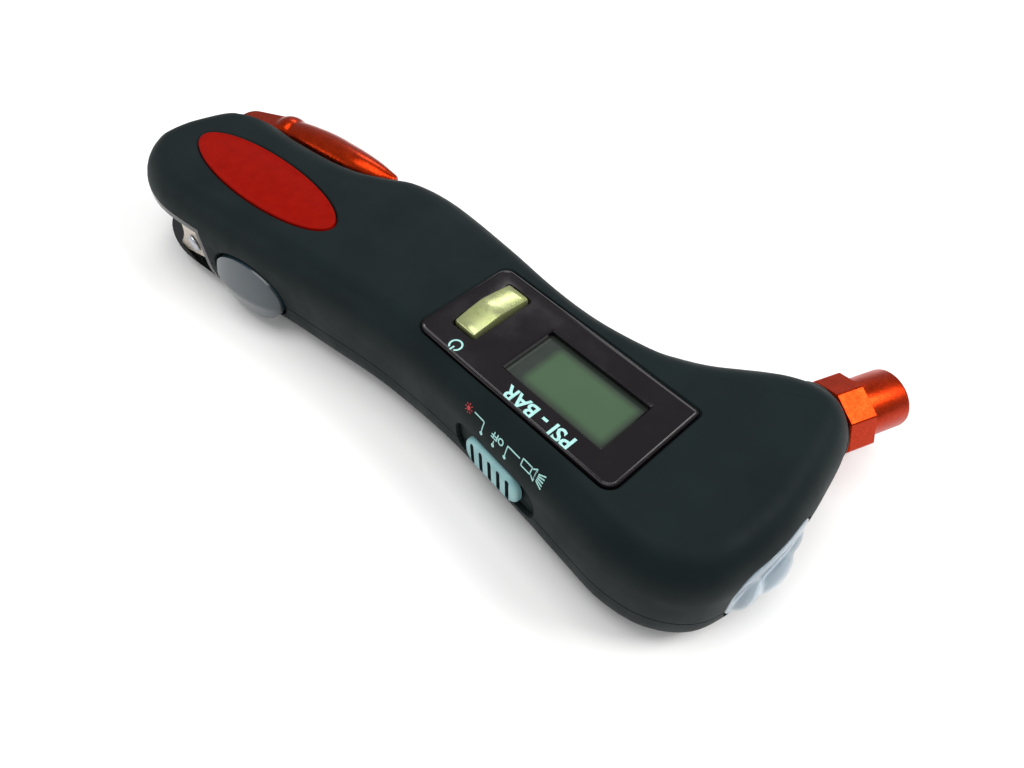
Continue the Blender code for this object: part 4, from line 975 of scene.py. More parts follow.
def make_bottom_casing():
    shell = casing_shell("casing_lower", False)
    pad = boxed("cover_pad", COVER, (1.0, 3.9), 1.5)
    walls = boxed("bay_walls", CELL_BAY, (1.5, CELL_BAY["top"] + 1.4), 1.5)
    post = cylinder("cover_post", 3.0, 1.5, 9.0, place(COVER_SCREW_AT))
    pin_post = clipped(cylinder("pin_post", 3.6, 1.0, SHELF_TOP - 0.1, place(PIVOT_AT), 26),
                       0.3, PLAN_LOW)
    seat = clipped(block("spring_seat", (-5.0, 5.0), (13.2, 14.8), (-9.0, -0.6), RELEASE_PLACE),
                   0.6, PLAN_LOW)
    bosses = [cylinder(f"boss_low_{i}", 3.4, 0.8, LOW_FUSE, place(where))
              for i, where in enumerate(CASE_SCREWS)]
    add(shell, pad, walls, post, arm_shelf(), pin_post, neck("neck_low", True), seat, *bosses)
    screw_hole = [(0.0, 20.0), (1.5, 20.0), (1.5, 4.3), (2.9, 4.3), (2.9, 0.3), (3.2, -0.1),
                  (3.2, -1.0), (0.0, -1.0)]
    holes = [turned(f"screw_hole_{i}", screw_hole, place(where), 32)
             for i, where in enumerate(CASE_SCREWS)]
    holes += [boxed("cell_bay", CELL_BAY, (-1.0, CELL_BAY["top"])),
              plate("cover_recess", rounded_bounds(COVER),
                    [(-0.25, -1.0), (-0.25, -0.01), (0.0, 0.25), (0.0, COVER["thick"] + GAP)]),
              cylinder("cover_pilot", 1.3, 0.0, 7.5, place(COVER_SCREW_AT)),
              clipped(cylinder("pin_hole", 1.6, PIN_FOOT - 0.1, 15.0, place(PIVOT_AT), 22), 0.4,
                      PLAN_LOW)]
    cut(shell, *holes, *shared_openings("low"))
    return piece(shell, "casing", ["bottom_casing"])


# --- display and its marks ----------------------------------------------------------------
def make_panel():
    x, y = POWER_AT
    outline = rounded_bounds(PANEL, first=0.8)
    body = plate("panel", outline, PANEL_RIM)
    window = rounded_rectangle(LCD["x0"], LCD["x1"], LCD["y0"], LCD["y1"], 0.5)
    slot = rounded_rectangle(x - 3.1, x + 3.0, y - 7.0, y + 7.0, 0.8)
    cut(body, plate("lcd_window", window, [(0.35, 20.0), (0.35, PANEL_FACE - 0.35),
                                           (-0.1, PANEL_FACE + 0.1), (-0.1, 30.0)]),
        plate("power_window", slot, [(0.0, 20.0), (0.0, PANEL_FACE - 0.2),
                                     (-0.25, PANEL_FACE + 0.05), (-0.25, 30.0)]))
    return piece(body, "panel", ["display_panel"], sharp=25.0)


def joined(name, objects):
    """One object from several whose solids stay apart."""
    shape = bmesh.new()
    for obj in objects:
        shape.from_mesh(obj.data)
        bpy.data.objects.remove(obj)
    mesh = bpy.data.meshes.new(name)
    shape.to_mesh(mesh)
    shape.free()
    made = bpy.data.objects.new(name, mesh)
    bpy.context.scene.collection.objects.link(made)
    return made


def flat_mark(name, outlines, material, height):
    """Marks printed flat on the panel: each outline is a closed film 0.02 mm thick."""
    films = [plate(f"{name}_{i}", outline, [(0.0, height), (0.0, height + PRINT_THICK)])
             for i, outline in enumerate(outlines)]
    return piece(joined(name, films), material)


def stroke(points, width):
    """Closed outline of a line of some width through points, with square ends."""
    corners = [Vector(point) for point in points]
    points = corners[:1]
    for here, after in zip(corners, corners[1:]):
        pieces = max(1, round((after - here).length / STROKE_STEP))
        points += [here.lerp(after, k / pieces) for k in range(1, pieces + 1)]
    sides = ([], [])
    for i, point in enumerate(points):
        ahead = (points[min(i + 1, len(points) - 1)] - points[max(i - 1, 0)]).normalized()
        across = Vector((-ahead.y, ahead.x)) * width / 2
        sides[0].append(tuple(point - across))
        sides[1].append(tuple(point + across))
    return sides[0] + sides[1][::-1]


def disc(x, y, radius, sides=20):
    return [(x + radius * math.cos(a), y + radius * math.sin(a)) for a in turns(sides)]


def lettering(name, words, height, where):
    """Raised print from the built-in typeface, turned to a mesh and put in its place."""
    curve = bpy.data.curves.new(name, "FONT")
    curve.body = words
    curve.size = height / 0.7
    curve.align_x = "CENTER"
    curve.align_y = "CENTER"
    curve.offset = height * 0.035
    curve.extrude = PRINT_THICK / 2
    curve.resolution_u = 3
    source = bpy.data.objects.new(name, curve)
    bpy.context.scene.collection.objects.link(source)
    graph = bpy.context.evaluated_depsgraph_get()
    mesh = bpy.data.meshes.new_from_object(source.evaluated_get(graph))
    bpy.data.objects.remove(source)
    shape = bmesh.new()
    shape.from_mesh(mesh)
    bpy.data.meshes.remove(mesh)
    return settle(name, shape, where)


def make_panel_marks():
    level = PANEL_FACE + PRINT_LIFT
    words = place((*UNIT_MARKS_AT, level + PRINT_THICK / 2), rz=180)
    piece(lettering("unit_marks", "PSI - BAR", 2.7, words), "ink")
    x, y = POWER_MARK_AT
    flat_mark("power_mark", [stroke(line, 0.34) for line in (
        arc(1.15, -60, 240, 24, x, y), [(x, y - 1.75), (x, y - 0.35)])], "ink", level)


def on_edge(u, v, lift):
    """The place `v` up the rounded -Y edge at `u` along it, a little off its surface."""
    path = smooth_path(PLAN_NEAR, OUTLINE_STEPS)
    first, last = PRINTED_WALL
    near = path[(path[:, 0] > first) & (path[:, 0] < last) & (path[:, 1] < 0)]
    wall = np.interp(u, near[:, 0], near[:, 1])
    angle = math.pi / 2 * v / EDGE_ARC
    inset = EDGE_IN * (1 - math.cos(angle))
    height = THICKNESS - EDGE_UP + EDGE_UP * math.sin(angle)
    out = Vector((0.0, -math.cos(angle) / EDGE_IN, math.sin(angle) / EDGE_UP)).normalized()
    return Vector((u, wall + inset, height)) + out * lift


def edge_mark(name, outlines, material):
    """Marks printed on the rounded edge, as thin films bent to its surface."""
    films = []
    for i, outline in enumerate(outlines):
        rings = [[on_edge(u, v, lift) for u, v in outline]
                 for lift in (PRINT_LIFT, PRINT_LIFT + PRINT_THICK)]
        films.append(skin(f"{name}_{i}", rings))
    return piece(joined(name, films), material)


def make_switch_marks():
    """Three leader lines over the slide switch: lamp, off and torch, with a sign for each."""
    dots = [(-7.3, 2.1), (-4.2, 2.1), (-1.2, 2.1)]
    leaders = [[dots[0], (-7.3, 4.4)], [(-7.4, 4.4), (-9.9, 4.4)], [dots[1], (-4.2, 3.0)],
               [dots[2], (-1.2, 4.4)], [(-1.3, 4.4), (1.8, 4.4)]]
    torch_body = [(2.4, 3.6), (2.4, 4.9), (4.6, 4.9), (4.6, 3.6), (2.4, 3.6)]
    torch_head = [(4.8, 3.7), (5.6, 3.1), (5.6, 5.4), (4.8, 4.8)]
    beams = [[(6.1, 4.25 + 0.3 * k), (7.5, 4.25 + 0.62 * k)] for k in (-2, -1, 0, 1, 2)]
    marks = [disc(u, v, 0.36) for u, v in dots]
    marks += [stroke(line, SIGN_WIDTH) for line in [*leaders, torch_body]]
    marks += [stroke(line, 0.24) for line in [torch_head, *beams]]
    edge_mark("switch_marks", marks, "ink")
    x, y = -11.4, 4.1
    rays = [stroke([(x + r * math.cos(a), y + r * math.sin(a)) for r in (0.6, 0.95)], 0.16)
            for a in turns(8)]
    edge_mark("lamp_mark", [disc(x, y, 0.42), *rays], "ink_red")
    words = lettering("off_mark", "OFF", 1.2, place())
    shape = bmesh.new()
    shape.from_mesh(words.data)
    bmesh.ops.transform(shape, matrix=TO_FRAME.inverted(), verts=shape.verts)
    for vert in shape.verts:
        u, v, lift = -3.6 - vert.co.x, 4.0 - vert.co.y, vert.co.z
        vert.co = on_edge(u, v, PRINT_LIFT + PRINT_THICK / 2 + lift)
    bpy.data.objects.remove(words)
    piece(settle("off_mark", shape), "ink")


# --- keys and switches --------------------------------------------------------------------
def make_power_key():
    """The key is a bar whose top falls away gently from its middle to both ends."""
    x, y = POWER_AT
    half_x, half_y = POWER_SIZE[0] / 2, POWER_SIZE[1] / 2
    crown, fall, swell, foot = 25.28, 0.62, 0.35, 21.3
    rings = []
    half = [(0.05, 0.0), (0.2, 0.0), (0.5, 0.0), (0.8, 0.0), (0.96, 0.0), (0.985, 0.15),
            (1.0, 0.45)]
    for along, shrink in [(-along, shrink) for along, shrink in half[::-1]] + half:
        top = crown - fall * (math.sqrt(along ** 2 + 0.002) - 0.04) - shrink
        left = -half_x - swell * math.cos(along * math.pi / 2) + shrink
        right = half_x - shrink
        section = [(left, foot), (right, foot), (right, top - 0.5), (right - 0.15, top - 0.15),
                   (right - 0.5, top), (left + 0.5, top), (left + 0.15, top - 0.15),
                   (left, top - 0.5)]
        rings.append([(px, along * half_y, pz) for px, pz in section])
    cap = skin("power_key", rings, place((x, y, 0.0)))
    flange = block("power_flange", (-4.6, 4.6), (-8.4, 8.4), (20.6, 21.6), place((x, y, 0.0)))
    stem = cylinder("power_stem", 1.5, 20.2, 21.0, place((x, y, 0.0)))
    return piece(add(cap, flange, stem), "key", ["power_button"], body="power_button",
                 sharp=40.0)


def make_slide_switch():
    length, height = SLIDER_SIZE
    face = rounded_rectangle(-length / 2, length / 2, -height / 2, height / 2, 3.0, 10)
    knob = plate("slide_switch", face, [(0.0, -0.6), (0.0, 0.1), (0.12, 0.4), (0.45, 0.68),
                                        (1.0, 0.8)], SLIDER_FACE)
    knob.data.materials.append(finish("slider"))
    add(knob, block("slider_foot", (-2.6, 2.6), (0.0, 3.4), (-1.7, 1.7), SLIDER_PLACE),
        block("slider_keeper", (-4.6, 4.6), (2.6, 3.6), (-2.9, 2.9), SLIDER_PLACE),
        block("slider_finger", (-0.9, 0.9), (3.2, 6.2), (-1.0, 1.0), SLIDER_PLACE))
    size = bpy.context.scene.gauge_sizes
    grooves = grow("slider_grooves", bars_tree(), {
        "Count": size.groove_count, "Pitch": size.groove_pitch, "Width": size.groove_width,
        "Length": 5.7 * MM, "Depth": 1.6 * MM}, "groove", SLIDER_FACE @ place((0, 0, 0.9)))
    # The cutter's darker finish passes onto the groove walls, which paints shade into the grooves.
    cutting = knob.modifiers.new("grooves", "BOOLEAN")
    cutting.operation = "DIFFERENCE"
    cutting.solver = "EXACT"
    cutting.material_mode = "TRANSFER"
    cutting.object = grooves
    bake(knob)
    bpy.data.objects.remove(grooves)
    return piece(knob, "slider", ["mode_slider"], body="mode_slider")


def make_release_key():
    """An oval push key with a ridge along it, so that it shows two long faces."""
    half_u, half_w = RELEASE_SIZE[0] / 2, RELEASE_SIZE[1] / 2
    base, crest, ridge_at, low_fall = 0.3, 2.5, -0.25, 0.35
    def level(u, w):
        span = math.sqrt(max(1 - (u / half_u) ** 2, MERGE))
        across = max(-1.0, min(1.0, w / half_w / span))
        if across > ridge_at:
            share = (across - ridge_at) / (1 - ridge_at)
            return base + span * (crest * (1 - share) + 0.6 * share * (1 - share))
        share = (ridge_at - across) / (1 + ridge_at)
        return base + span * crest * (1 - low_fall * share)
    rings = [[(u, w, height) for u, w in oval(2 * half_u, 2 * half_w)]
             for height in (-3.6, 0.0)]
    for share in (0.985, 0.95, 0.88, 0.78, 0.66, 0.54, 0.42, 0.3, 0.18, 0.08, 0.02):
        rings.append([(u, w, level(u, w)) for u, w in oval(2 * half_u * share,
                                                           2 * half_w * share)])
    cap = skin("release_key", rings, RELEASE_FACE)
    flange = block("release_flange", (-11.4, 11.4), (3.4, 4.6), (-5.6, 5.6), RELEASE_PLACE)
    stem = cylinder("release_stem", 1.6, 4.0, 10.0, RELEASE_PLACE @ place(rx=-90))
    return piece(add(cap, flange, stem), "release", ["release_button"], body="release_button",
                 sharp=28.0)


# --- nozzle, lamps, arm and cutter --------------------------------------------------------
def make_nozzle():
    r, end = NOZZLE_RADIUS, NOZZLE_LENGTH
    profile = [(0.0, end), (r - 0.9, end), (r - 0.45, end - 0.12), (r - 0.12, end - 0.45),
               (r, end - 0.9), (r, 0.5), (4.6, 0.5), (4.6, -2.2), (3.7, -2.2), (3.7, -3.8),
               (4.6, -3.8), (4.6, -7.3), (6.7, -7.3), (6.7, -9.0), (1.3, -9.0), (1.3, -14.5),
               (0.0, -14.5)]
    body = turned("nozzle", profile, NOZZLE_PLACE, 96)
    corner = OCTAGON_FLATS / 2 / math.cos(math.pi / 8)
    flats = []
    for k in range(8):
        here, after = (Vector((math.cos(a), math.sin(a))) * corner
                       for a in (math.pi / 4 * k, math.pi / 4 * (k + 1)))
        flats += [here.lerp(after, share) for share in (0.03, 0.35, 0.65, 0.97)]
    octagon = plate("octagon", flats, [(0.35, GAP), (0.0, GAP + 0.3),
                                       (0.0, OCTAGON_LENGTH - 0.35), (0.4, OCTAGON_LENGTH)],
                    NOZZLE_PLACE)
    bore = [(0.0, 20.0), (VALVE_BORE + 0.5, 20.0), (VALVE_BORE + 0.5, end), (VALVE_BORE, end - 0.5),
            (VALVE_BORE, 4.2), (0.7, 4.2), (0.7, -16.0), (0.0, -16.0)]
    add(body, octagon)
    cut(body, turned("valve_bore", bore, NOZZLE_PLACE))
    piece(body, "nozzle", ["nozzle_body"], sharp=20.0)
    pin = [(0.0, 8.0), (0.7, 8.0), (0.9, 7.8), (0.9, 5.5), (3.9, 5.5), (3.9, 4.5), (0.0, 4.5)]
    depressor = turned("valve_pin", pin, NOZZLE_PLACE, 40)
    holes = [cylinder(f"vent_{k}", 0.6, 3.0, 7.0,
                      NOZZLE_PLACE @ place((2.2 * math.cos(a), 2.2 * math.sin(a), 0)), 16)
             for k, a in enumerate(turns(3))]
    piece(cut(depressor, *holes), "brass", ["valve_depressor"])
    seal = [(3.9, 7.9), (3.9, 5.8), (2.5, 5.8), (2.5, 7.5), (2.65, 7.8), (2.9, 7.9)]
    piece(turned("valve_washer", seal, NOZZLE_PLACE, 48), "rubber", ["valve_seal"])


def make_air_hose():
    route = smooth_path([(23.6, 21.5, 12.0), (22.6, 18.8, 12.0), (21.6, 15.8, 12.3),
                         (20.8, 12.0, 12.7), (19.3, 9.3, 13.0), (16.8, 7.7, 13.1),
                         (13.4, 7.6, 13.1)], 4)
    piece(tube("pressure_hose", route, [2.5] * len(route), wall=0.85), "silicone",
          ["air_hose"])


def dome(radius, height, steps):
    """Profile of a half ball from its top on the axis to its widest ring."""
    angles = [math.pi / 2 * k / steps for k in range(steps + 1)]
    return [(radius * math.sin(a), height + radius * math.cos(a)) for a in angles]


def make_torch():
    """Lens with two soft lobes, a metallised cup and the lamp in its middle."""
    x, y, z = TORCH_AT
    lens = casing_solid("torch_glass", PLAN_TOP)
    cut(lens, casing_solid("torch_inside", PLAN_TOP, WALL))
    keep(lens, torch_prism("torch_limit", GAP))
    lobes = [ball("lobe_far", (3.1, 5.2, 5.2), (x - 1.0, y + 1.2, z + 0.2)),
             ball("lobe_near", (2.6, 3.4, 5.4), (x - 1.5, y - 4.4, z)),
             ball("lobe_top", (2.2, 5.0, 3.0), (x - 1.4, y + 4.6, z + 2.4))]
    add(lens, *[keep(lobe, block(lobe.name + "_half", (x - 1.6, x + 10), (y - 20, y + 20),
                                 (z - 20, z + 20))) for lobe in lobes])
    melt(lens, voxel=0.22, rounds=8)
    piece(lens, "clear", ["torch_lens"], sharp=70.0)
    def bowl(rim, narrowing, level, depth, steps):
        return [(rim - narrowing * k / 10, level - depth * math.sin(math.pi / 2 * k / 10))
                for k in steps]
    cup = [(6.6, -3.2), (6.6, -4.0), *bowl(6.6, 2.9, -4.0, 8.0, range(1, 11)),
           (3.7, -13.2), (2.9, -13.2), (2.9, -11.8),
           *bowl(5.7, 2.8, -3.9, 7.9, range(9, -1, -1)), (5.7, -3.2)]
    piece(turned("torch_cup", cup, TORCH_PLACE), "mirror", ["torch_reflector"])
    bulb = dome(2.5, -8.1, 8) + [(2.5, -14.4), (2.9, -14.4), (2.9, -15.4), (0.0, -15.4)]
    piece(turned("torch_lamp", bulb, TORCH_PLACE, 32), "clear", ["torch_led"])


def make_beacon():
    """Oval window: a deep seat below and a face that crowns 0.25 mm inside a narrow rim."""
    length, width = BEACON_SIZE
    levels = [(2.1, 21.0), (2.1, 23.05), (0.0, 23.05), (0.0, 23.95), (0.12, 24.12),
              (0.35, 24.2), (0.6, 24.14), (0.9, 24.12)]
    rings = [[(px, py, height) for px, py in oval(length - 2 * inset, width - 2 * inset, 128)]
             for inset, height in levels]
    for share in (0.8, 0.6, 0.4, 0.2, 0.05):
        rise = 24.12 + 0.25 * (1 - share ** 2)
        rings.append([(px, py, rise) for px, py in oval((length - 1.8) * share,
                                                        (width - 1.8) * share, 128)])
    piece(skin("beacon_window", rings, BEACON_PLACE), "beacon", ["warning_lens"], sharp=40.0)
    bulb = dome(1.4, 19.2, 6) + [(1.4, 18.9), (1.7, 18.9), (1.7, 18.4), (0.0, 18.4)]
    for number, where in enumerate([(-94.0, -8.5), (-77.0, -7.5)], start=1):
        piece(turned(f"beacon_lamp_{number}", bulb, place(where), 24), "beacon",
              [f"warning_led_{number}"])


def make_arm():
    """The arm: a ball, a swelling bar that tapers to a point, and a flat tongue to its pin."""
    path = smooth_path(ARM_PATH, 8)
    bar = tube("swing_arm", [(x, y, ARM_Z) for x, y, _ in path], [r for _, _, r in path],
               sides=48)
    x, y, _ = ARM_PATH[0]
    px, py = PIVOT_AT
    heading = math.degrees(math.atan2(y - py, x - px))
    reach = math.hypot(x - px, y - py)
    eye = arc(3.4, 90, 270, 18)
    tongue = plate("arm_tongue", eye + [(reach - 1, -2.6), (reach - 1, 2.6)],
                   [(0.25, 17.6), (0.0, 17.85), (0.0, 19.95), (0.25, 20.2)],
                   place((px, py, 0.0), rz=heading))
    hub = cylinder("arm_hub", 3.4, SHELF_TOP + 0.4, 18.5, place((px, py, 0.0)), 48)
    add(bar, ball("arm_ball", (4.6, 4.6, 4.6), (x, y, ARM_Z)), tongue, hub)
    melt(bar, voxel=0.2, rounds=24)
    driver_place = place((-101.5, 7.4, ARM_Z), ry=90, rz=11.5)
    cut(bar, cylinder("driver_groove", 1.75, 0.0, 21.0, driver_place, 40),
        cylinder("arm_hole", 1.6, 5.0, 18.6, place((px, py, 0.0)), 40))
    piece(bar, "arm", ["driver_arm"], body="driver_arm", sharp=45.0)
    pin = [(0.0, 18.3), (1.0, 18.3), (1.25, 18.0), (1.25, PIN_FOOT), (0.0, PIN_FOOT)]
    piece(turned("pivot_pin", pin, place((px, py, 0.0)), 40), "zinc", ["arm_pin"])
    shank = [(0.0, 20.0), (0.5, 20.0), (0.9, 17.0), (1.25, 15.6), (1.4, 15.3), (1.4, 0.5),
             (1.2, 0.3), (0.0, 0.3)]
    piece(turned("driver_shank", shank, driver_place, 32), "driver", ["driver_bit"],
          body="driver_arm")


def make_cutter():
    slot = CUTTER_SLOT
    outer = clipped(block("slot_liner", (slot["x0"], slot["x1"] - GAP),
                          (slot["y0"], slot["y1"] - GAP),
                          (slot["z0"] + GAP, slot["z1"] - GAP)), 0.1, PLAN_LOW)
    inner = block("liner_mouth", (slot["x0"] - 5, slot["x1"] - GAP - LINER_WALL),
                  (slot["y0"] - 5, slot["y1"] - GAP - LINER_WALL),
                  (slot["z0"] + GAP + LINER_WALL, slot["z1"] - GAP - LINER_WALL))
    piece(cut(outer, inner), "liner", ["belt_slot_liner"])
    low = slot["z0"] + 2 * GAP + LINER_WALL
    high = slot["z1"] - 2 * GAP - LINER_WALL
    right = slot["x1"] - 2 * GAP - LINER_WALL
    edge = []
    for share in np.linspace(0.0, 1.0, 25):
        across = BLADE_TIP + (BLADE_HEEL - BLADE_TIP) * share
        edge.append((across + BLADE_BOW * math.sin(math.pi * share), low + (high - low) * share))
    corner = [(BLADE_TIP + 3.4, low), (right, low + 5.0), (right, high)]
    flat = corner + edge[::-1]
    ground = corner + [(u + BLADE_BEVEL, w) for u, w in edge[::-1]]
    rings = [[(u, w, 24.0) for u, w in ground], [(u, w, 24.35) for u, w in flat],
             [(u, w, 24.45) for u, w in flat], [(u, w, 24.8) for u, w in ground]]
    hub = place((-91.5, 0.0, (low + high) / 2 + 1.0), rx=90)
    blade = skin("cutter_blade", rings, place(rx=90))
    piece(cut(blade, cylinder("blade_hole", 1.3, 20.0, 30.0, hub)), "blade", ["belt_blade"],
          sharp=12.0)
    back = slot["y1"] - 2 * GAP - LINER_WALL
    stud = [(0.0, 25.7), (1.2, 25.6), (1.8, 25.35), (2.0, 25.1), (1.0, 25.1), (1.0, 23.7),
            (2.4, 23.7), (2.4, -back), (0.0, -back)]
    piece(turned("cutter_rivet", stud, hub, 32), "zinc", ["blade_rivet"])


# --- underside and inside -----------------------------------------------------------------
def make_battery_cover():
    lid = plate("cell_cover", rounded_bounds(COVER, -GAP),
                [(0.25, 0.1), (0.0, 0.35), (0.0, COVER["thick"])])
    grips = grow("cover_grips", bars_tree(), {"Count": 4, "Pitch": 2.2 * MM, "Width": 1.0 * MM,
                                              "Length": 9.0 * MM, "Depth": 1.0 * MM},
                 "casing", place((-52.7, 1.0, 0.1)))
    cut(lid, grips, turned("countersink", [(0.0, 3.0), (1.5, 3.0), (1.5, 1.0), (2.5, 0.0),
                                           (2.5, -1.0), (0.0, -1.0)], place(COVER_SCREW_AT)))
    lid.data.materials.clear()
    return piece(lid, "casing", ["battery_cover"])


def make_fasteners():
    screws = screw_tree()
    points = [(x, y, 0.0) for x, y in CASE_SCREWS]
    piece(grow("case_screws", screws, {}, "zinc", place((0, 0, 2.2)), points), "zinc",
          [f"casing_screw_{i}" for i in range(1, 5)])
    flat_head = {"Head Base Radius": 1.05 * MM, "Head Face Radius": 2.0 * MM,
                 "Head Height": 0.9 * MM, "Shank Radius": 1.0 * MM, "Shank Length": 5.4 * MM,
                 "Recess Width": 0.5 * MM, "Recess Length": 2.6 * MM,
                 "Recess Depth": 0.5 * MM}
    piece(grow("lid_screw", screws, flat_head, "zinc", place((0, 0, 0.25)),
               [(*COVER_SCREW_AT, 0.0)]), "zinc", ["cover_screw"])


def make_springs():
    coils = coil_tree()
    release = RELEASE_PLACE @ place((0.0, SPRING_START, 0.0), rx=-90)
    spring = piece(grow("return_spring", coils, {}, "nickel", release), "nickel",
                   ["release_spring"])
    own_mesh(spring)
    x, y, z = CELL_AT
    cell = place((CELL_BAY["x0"] + 0.6, y, z), ry=90)
    piece(grow("cell_spring", coils, {
        "Turns": 3.0, "Start Radius": 4.0 * MM, "End Radius": 2.0 * MM, "Length": 2.1 * MM,
        "Wire Radius": 0.25 * MM}, "nickel", cell), "nickel", ["battery_spring"])


CARRIED = {                    # finish: the CAD nodes that keep their own shape
    "display": ["lcd_glass"],
    "chip": ["lcd_frame", "controller_chip", "power_switch"],
    "board": ["circuit_board", "torch_board", "warning_board"],
    "sensor": ["pressure_sensor"],
    "nickel": ["button_cell_1", "button_cell_2", "button_cell_3", "mode_switch"],
    "brass": ["battery_contact"],
    "rubber": ["nozzle_o_ring"],
    "silicone": ["contact_strip_near", "contact_strip_far"],
    "wire_red": ["battery_lead_red", "torch_lead_red", "warning_lead_red"],
    "wire_black": ["battery_lead_black", "torch_lead_black", "warning_lead_black"],
}


def finish_carried_nodes():
    for name, nodes in CARRIED.items():
        for node in nodes:
            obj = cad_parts[node]
            for place_in in obj.material_slots:
                place_in.material = finish(name)


# --- stage --------------------------------------------------------------------------------
CAMERA_AT = (47.884, -58.863, 120.3)
LAMPS = {                      # name: offset from the gauge and size in metres, power in watts
    "overhead softbox": ((0.0, -0.04, 0.6), (0.5, 0.4), 2.2),
    "back strip": ((-0.38, 0.5, 0.52), (0.35, 0.14), 1.0),
    "right softbox": ((0.34, 0.28, 0.45), (0.22, 0.22), 2.2),
    "near strip": ((-0.27, -0.46, 0.25), (0.4, 0.1), 0.7),
}


def make_stage():
    scene = bpy.context.scene
    stage = scene.gauge_stage
    shape = bmesh.new()
    bmesh.ops.create_grid(shape, x_segments=1, y_segments=1, size=stage.floor_size / 2)
    mesh = bpy.data.meshes.new("floor")
    shape.to_mesh(mesh)
    shape.free()
    floor = bpy.data.objects.new("floor", mesh)
    scene.collection.objects.link(floor)
    paper = Finish("Paper, matt white", tuple(stage.floor_colour), Roughness=0.9)
    mesh.materials.append(paper.material)
    low, high = (Vector(corner) for corner in CAD_BOX)
    middle = (low + high) / 2
    for name, (offset, size, power) in LAMPS.items():
        lamp = bpy.data.lights.new(name, "AREA")
        lamp.shape = "RECTANGLE"
        lamp.size, lamp.size_y = size
        lamp.energy = power * stage.lamp_power
        holder = bpy.data.objects.new(name, lamp)
        holder.location = middle + Vector(offset)
        holder.rotation_euler = (-Vector(offset)).to_track_quat("-Z", "Y").to_euler()
        scene.collection.objects.link(holder)
    world = bpy.data.worlds.new("pale surroundings")
    world.use_nodes = True
    back = world.node_tree.nodes["Background"]
    back.inputs["Color"].default_value = tuple(stage.surround_colour)
    back.inputs["Strength"].default_value = stage.surround_strength
    scene.world = world
    eye = bpy.data.cameras.new("camera")
    eye.sensor_width = 36.0
    eye.lens = stage.lens
    eye.clip_start = 0.005
    camera = bpy.data.objects.new("camera", eye)
    camera.location = TO_FRAME @ Vector(CAMERA_AT)
    camera.rotation_euler = (math.pi / 2 - stage.elevation, 0.0, stage.azimuth)
    scene.collection.objects.link(camera)
    scene.camera = camera
    scene.view_settings.view_transform = "Standard"


# --- settings, operators and panel --------------------------------------------------------
class GaugeSizes(bpy.types.PropertyGroup):
    """Sizes that shape the repeated and rounded details."""
    edge_steps: bpy.props.IntProperty(
        name="Edge steps", description="Facets over each rounded casing edge (count)",
        default=9, min=4, max=16)
    groove_count: bpy.props.IntProperty(
        name="Switch grooves", description="Grooves in the slide switch (count)",
        default=5, min=3, max=6)
    groove_pitch: bpy.props.FloatProperty(
        name="Groove pitch", description="Distance between two switch grooves (m)",
        default=2.35 * MM, min=1.5 * MM, max=3.0 * MM, unit="LENGTH", precision=5)
    groove_width: bpy.props.FloatProperty(
        name="Groove width", description="Width of one switch groove (m)",
        default=0.95 * MM, min=0.4 * MM, max=1.3 * MM, unit="LENGTH", precision=5)


def colour_property(name, description, hex_colour):
    return bpy.props.FloatVectorProperty(name=name, description=description, size=4,
                                         subtype="COLOR", min=0.0, max=1.0,
                                         default=linear(hex_colour))


class GaugeColours(bpy.types.PropertyGroup):
    """Base colours of the finishes that give the gauge its look (linear light)."""
    casing: colour_property("Casing", "Soft-touch coat (linear RGBA)", "0E1718")
    key: colour_property("Power key", "Pale gold plating (linear RGBA)", "A9AF7C")
    release: colour_property("Release key", "Grey-blue plastic (linear RGBA)", "1E303C")
    anodising: colour_property("Anodising", "Orange dye (linear RGBA)", "A02608")
    beacon: colour_property("Beacon", "Red window (linear RGBA)", "7E0700")


class GaugeStage(bpy.types.PropertyGroup):
    """Camera, floor and light."""
    lens: bpy.props.FloatProperty(
        name="Lens", description="Focal length on a 36 mm sensor (mm)", default=26.16,
        min=10.0, max=200.0)
    azimuth: bpy.props.FloatProperty(
        name="Azimuth", description="Camera turn about the upright axis (rad)",
        default=math.radians(47.33), subtype="ANGLE")
    elevation: bpy.props.FloatProperty(
        name="Elevation", description="Camera tilt above the floor (rad)",
        default=math.radians(90 - 38.37), subtype="ANGLE")
    floor_size: bpy.props.FloatProperty(
        name="Floor size", description="Side of the floor (m)", default=6.0, min=1.0,
        unit="LENGTH")
    lamp_power: bpy.props.FloatProperty(
        name="Light power", description="Factor on every soft light (no unit)", default=1.0,
        min=0.0, max=20.0)
    surround_strength: bpy.props.FloatProperty(
        name="Surroundings", description="Strength of the pale surroundings (no unit)",
        default=0.5, min=0.0, max=10.0)
    floor_colour: colour_property("Floor", "Matt floor (linear RGBA)", "F4F3F1")
    surround_colour: colour_property("Surroundings", "Pale surroundings (linear RGBA)", "F2F4F8")


class GAUGE_OT_casing(bpy.types.Operator):
    """Make the two halves of the casing and the cover of the cells"""
    bl_idname = "gauge.casing"
    bl_label = "Casing"

    def execute(self, context):
        make_top_casing()
        make_bottom_casing()
        make_battery_cover()
        return {"FINISHED"}


class GAUGE_OT_display(bpy.types.Operator):
    """Make the display panel with its printed marks"""
    bl_idname = "gauge.display"
    bl_label = "Display"

    def execute(self, context):
        make_panel()
        make_panel_marks()
        return {"FINISHED"}


class GAUGE_OT_controls(bpy.types.Operator):
    """Make the power key, the slide switch with its marks, and the release key"""
    bl_idname = "gauge.controls"
    bl_label = "Controls"

    def execute(self, context):
        make_power_key()
        make_slide_switch()
        make_switch_marks()
        make_release_key()
        return {"FINISHED"}


class GAUGE_OT_nozzle(bpy.types.Operator):
    """Make the air nozzle with its valve pin and washer, and the hose behind it"""
    bl_idname = "gauge.nozzle"
    bl_label = "Nozzle"

    def execute(self, context):
        make_nozzle()
        make_air_hose()
        return {"FINISHED"}


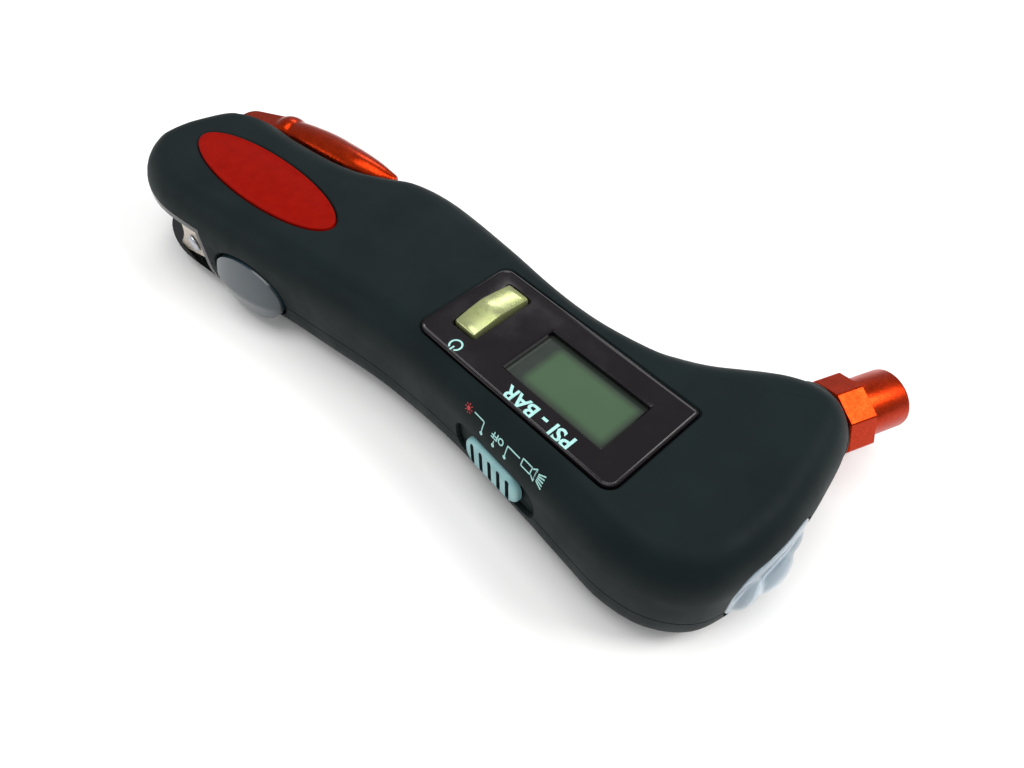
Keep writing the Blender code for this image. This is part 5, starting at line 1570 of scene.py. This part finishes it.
class GAUGE_OT_lamps(bpy.types.Operator):
    """Make the torch and the red beacon"""
    bl_idname = "gauge.lamps"
    bl_label = "Lamps"

    def execute(self, context):
        make_torch()
        make_beacon()
        return {"FINISHED"}


class GAUGE_OT_tools(bpy.types.Operator):
    """Make the swing-out arm with its driver, and the belt cutter"""
    bl_idname = "gauge.tools"
    bl_label = "Arm and cutter"

    def execute(self, context):
        make_arm()
        make_cutter()
        return {"FINISHED"}


class GAUGE_OT_inside(bpy.types.Operator):
    """Make screws and springs, and give the pieces inside their finishes"""
    bl_idname = "gauge.inside"
    bl_label = "Inside"

    def execute(self, context):
        make_fasteners()
        make_springs()
        finish_carried_nodes()
        return {"FINISHED"}


class GAUGE_OT_stage(bpy.types.Operator):
    """Set up the floor, the soft lights, the surroundings and the camera"""
    bl_idname = "gauge.stage"
    bl_label = "Stage"

    def execute(self, context):
        make_stage()
        return {"FINISHED"}


class GAUGE_PT_sidebar(bpy.types.Panel):
    """Sizes, colours and steps of the gauge"""
    bl_idname = "GAUGE_PT_sidebar"
    bl_label = "Tire gauge"
    bl_space_type = "VIEW_3D"
    bl_region_type = "UI"
    bl_category = "Gauge"

    def draw(self, context):
        layout = self.layout
        for title, group in (("Sizes", context.scene.gauge_sizes),
                             ("Colours", context.scene.gauge_colours),
                             ("Stage", context.scene.gauge_stage)):
            box = layout.box()
            box.label(text=title)
            for name in group.__annotations__:
                box.prop(group, name)
        for operator in OPERATORS:
            layout.operator(operator.bl_idname)


GROUPS = {"gauge_sizes": GaugeSizes, "gauge_colours": GaugeColours, "gauge_stage": GaugeStage}
OPERATORS = [GAUGE_OT_casing, GAUGE_OT_display, GAUGE_OT_controls, GAUGE_OT_nozzle,
             GAUGE_OT_lamps, GAUGE_OT_tools, GAUGE_OT_inside, GAUGE_OT_stage]


def register():
    for made in [*GROUPS.values(), *OPERATORS, GAUGE_PT_sidebar]:
        bpy.utils.register_class(made)
    for name, group in GROUPS.items():
        setattr(bpy.types.Scene, name, bpy.props.PointerProperty(type=group))


def unregister():
    for name in GROUPS:
        delattr(bpy.types.Scene, name)
    for made in [GAUGE_PT_sidebar, *OPERATORS[::-1], *list(GROUPS.values())[::-1]]:
        bpy.utils.unregister_class(made)


def main():
    register()
    bpy.ops.gauge.casing()
    bpy.ops.gauge.display()
    bpy.ops.gauge.controls()
    bpy.ops.gauge.nozzle()
    bpy.ops.gauge.lamps()
    bpy.ops.gauge.tools()
    bpy.ops.gauge.inside()
    bpy.ops.gauge.stage()


if __name__ == "__main__":
    main()
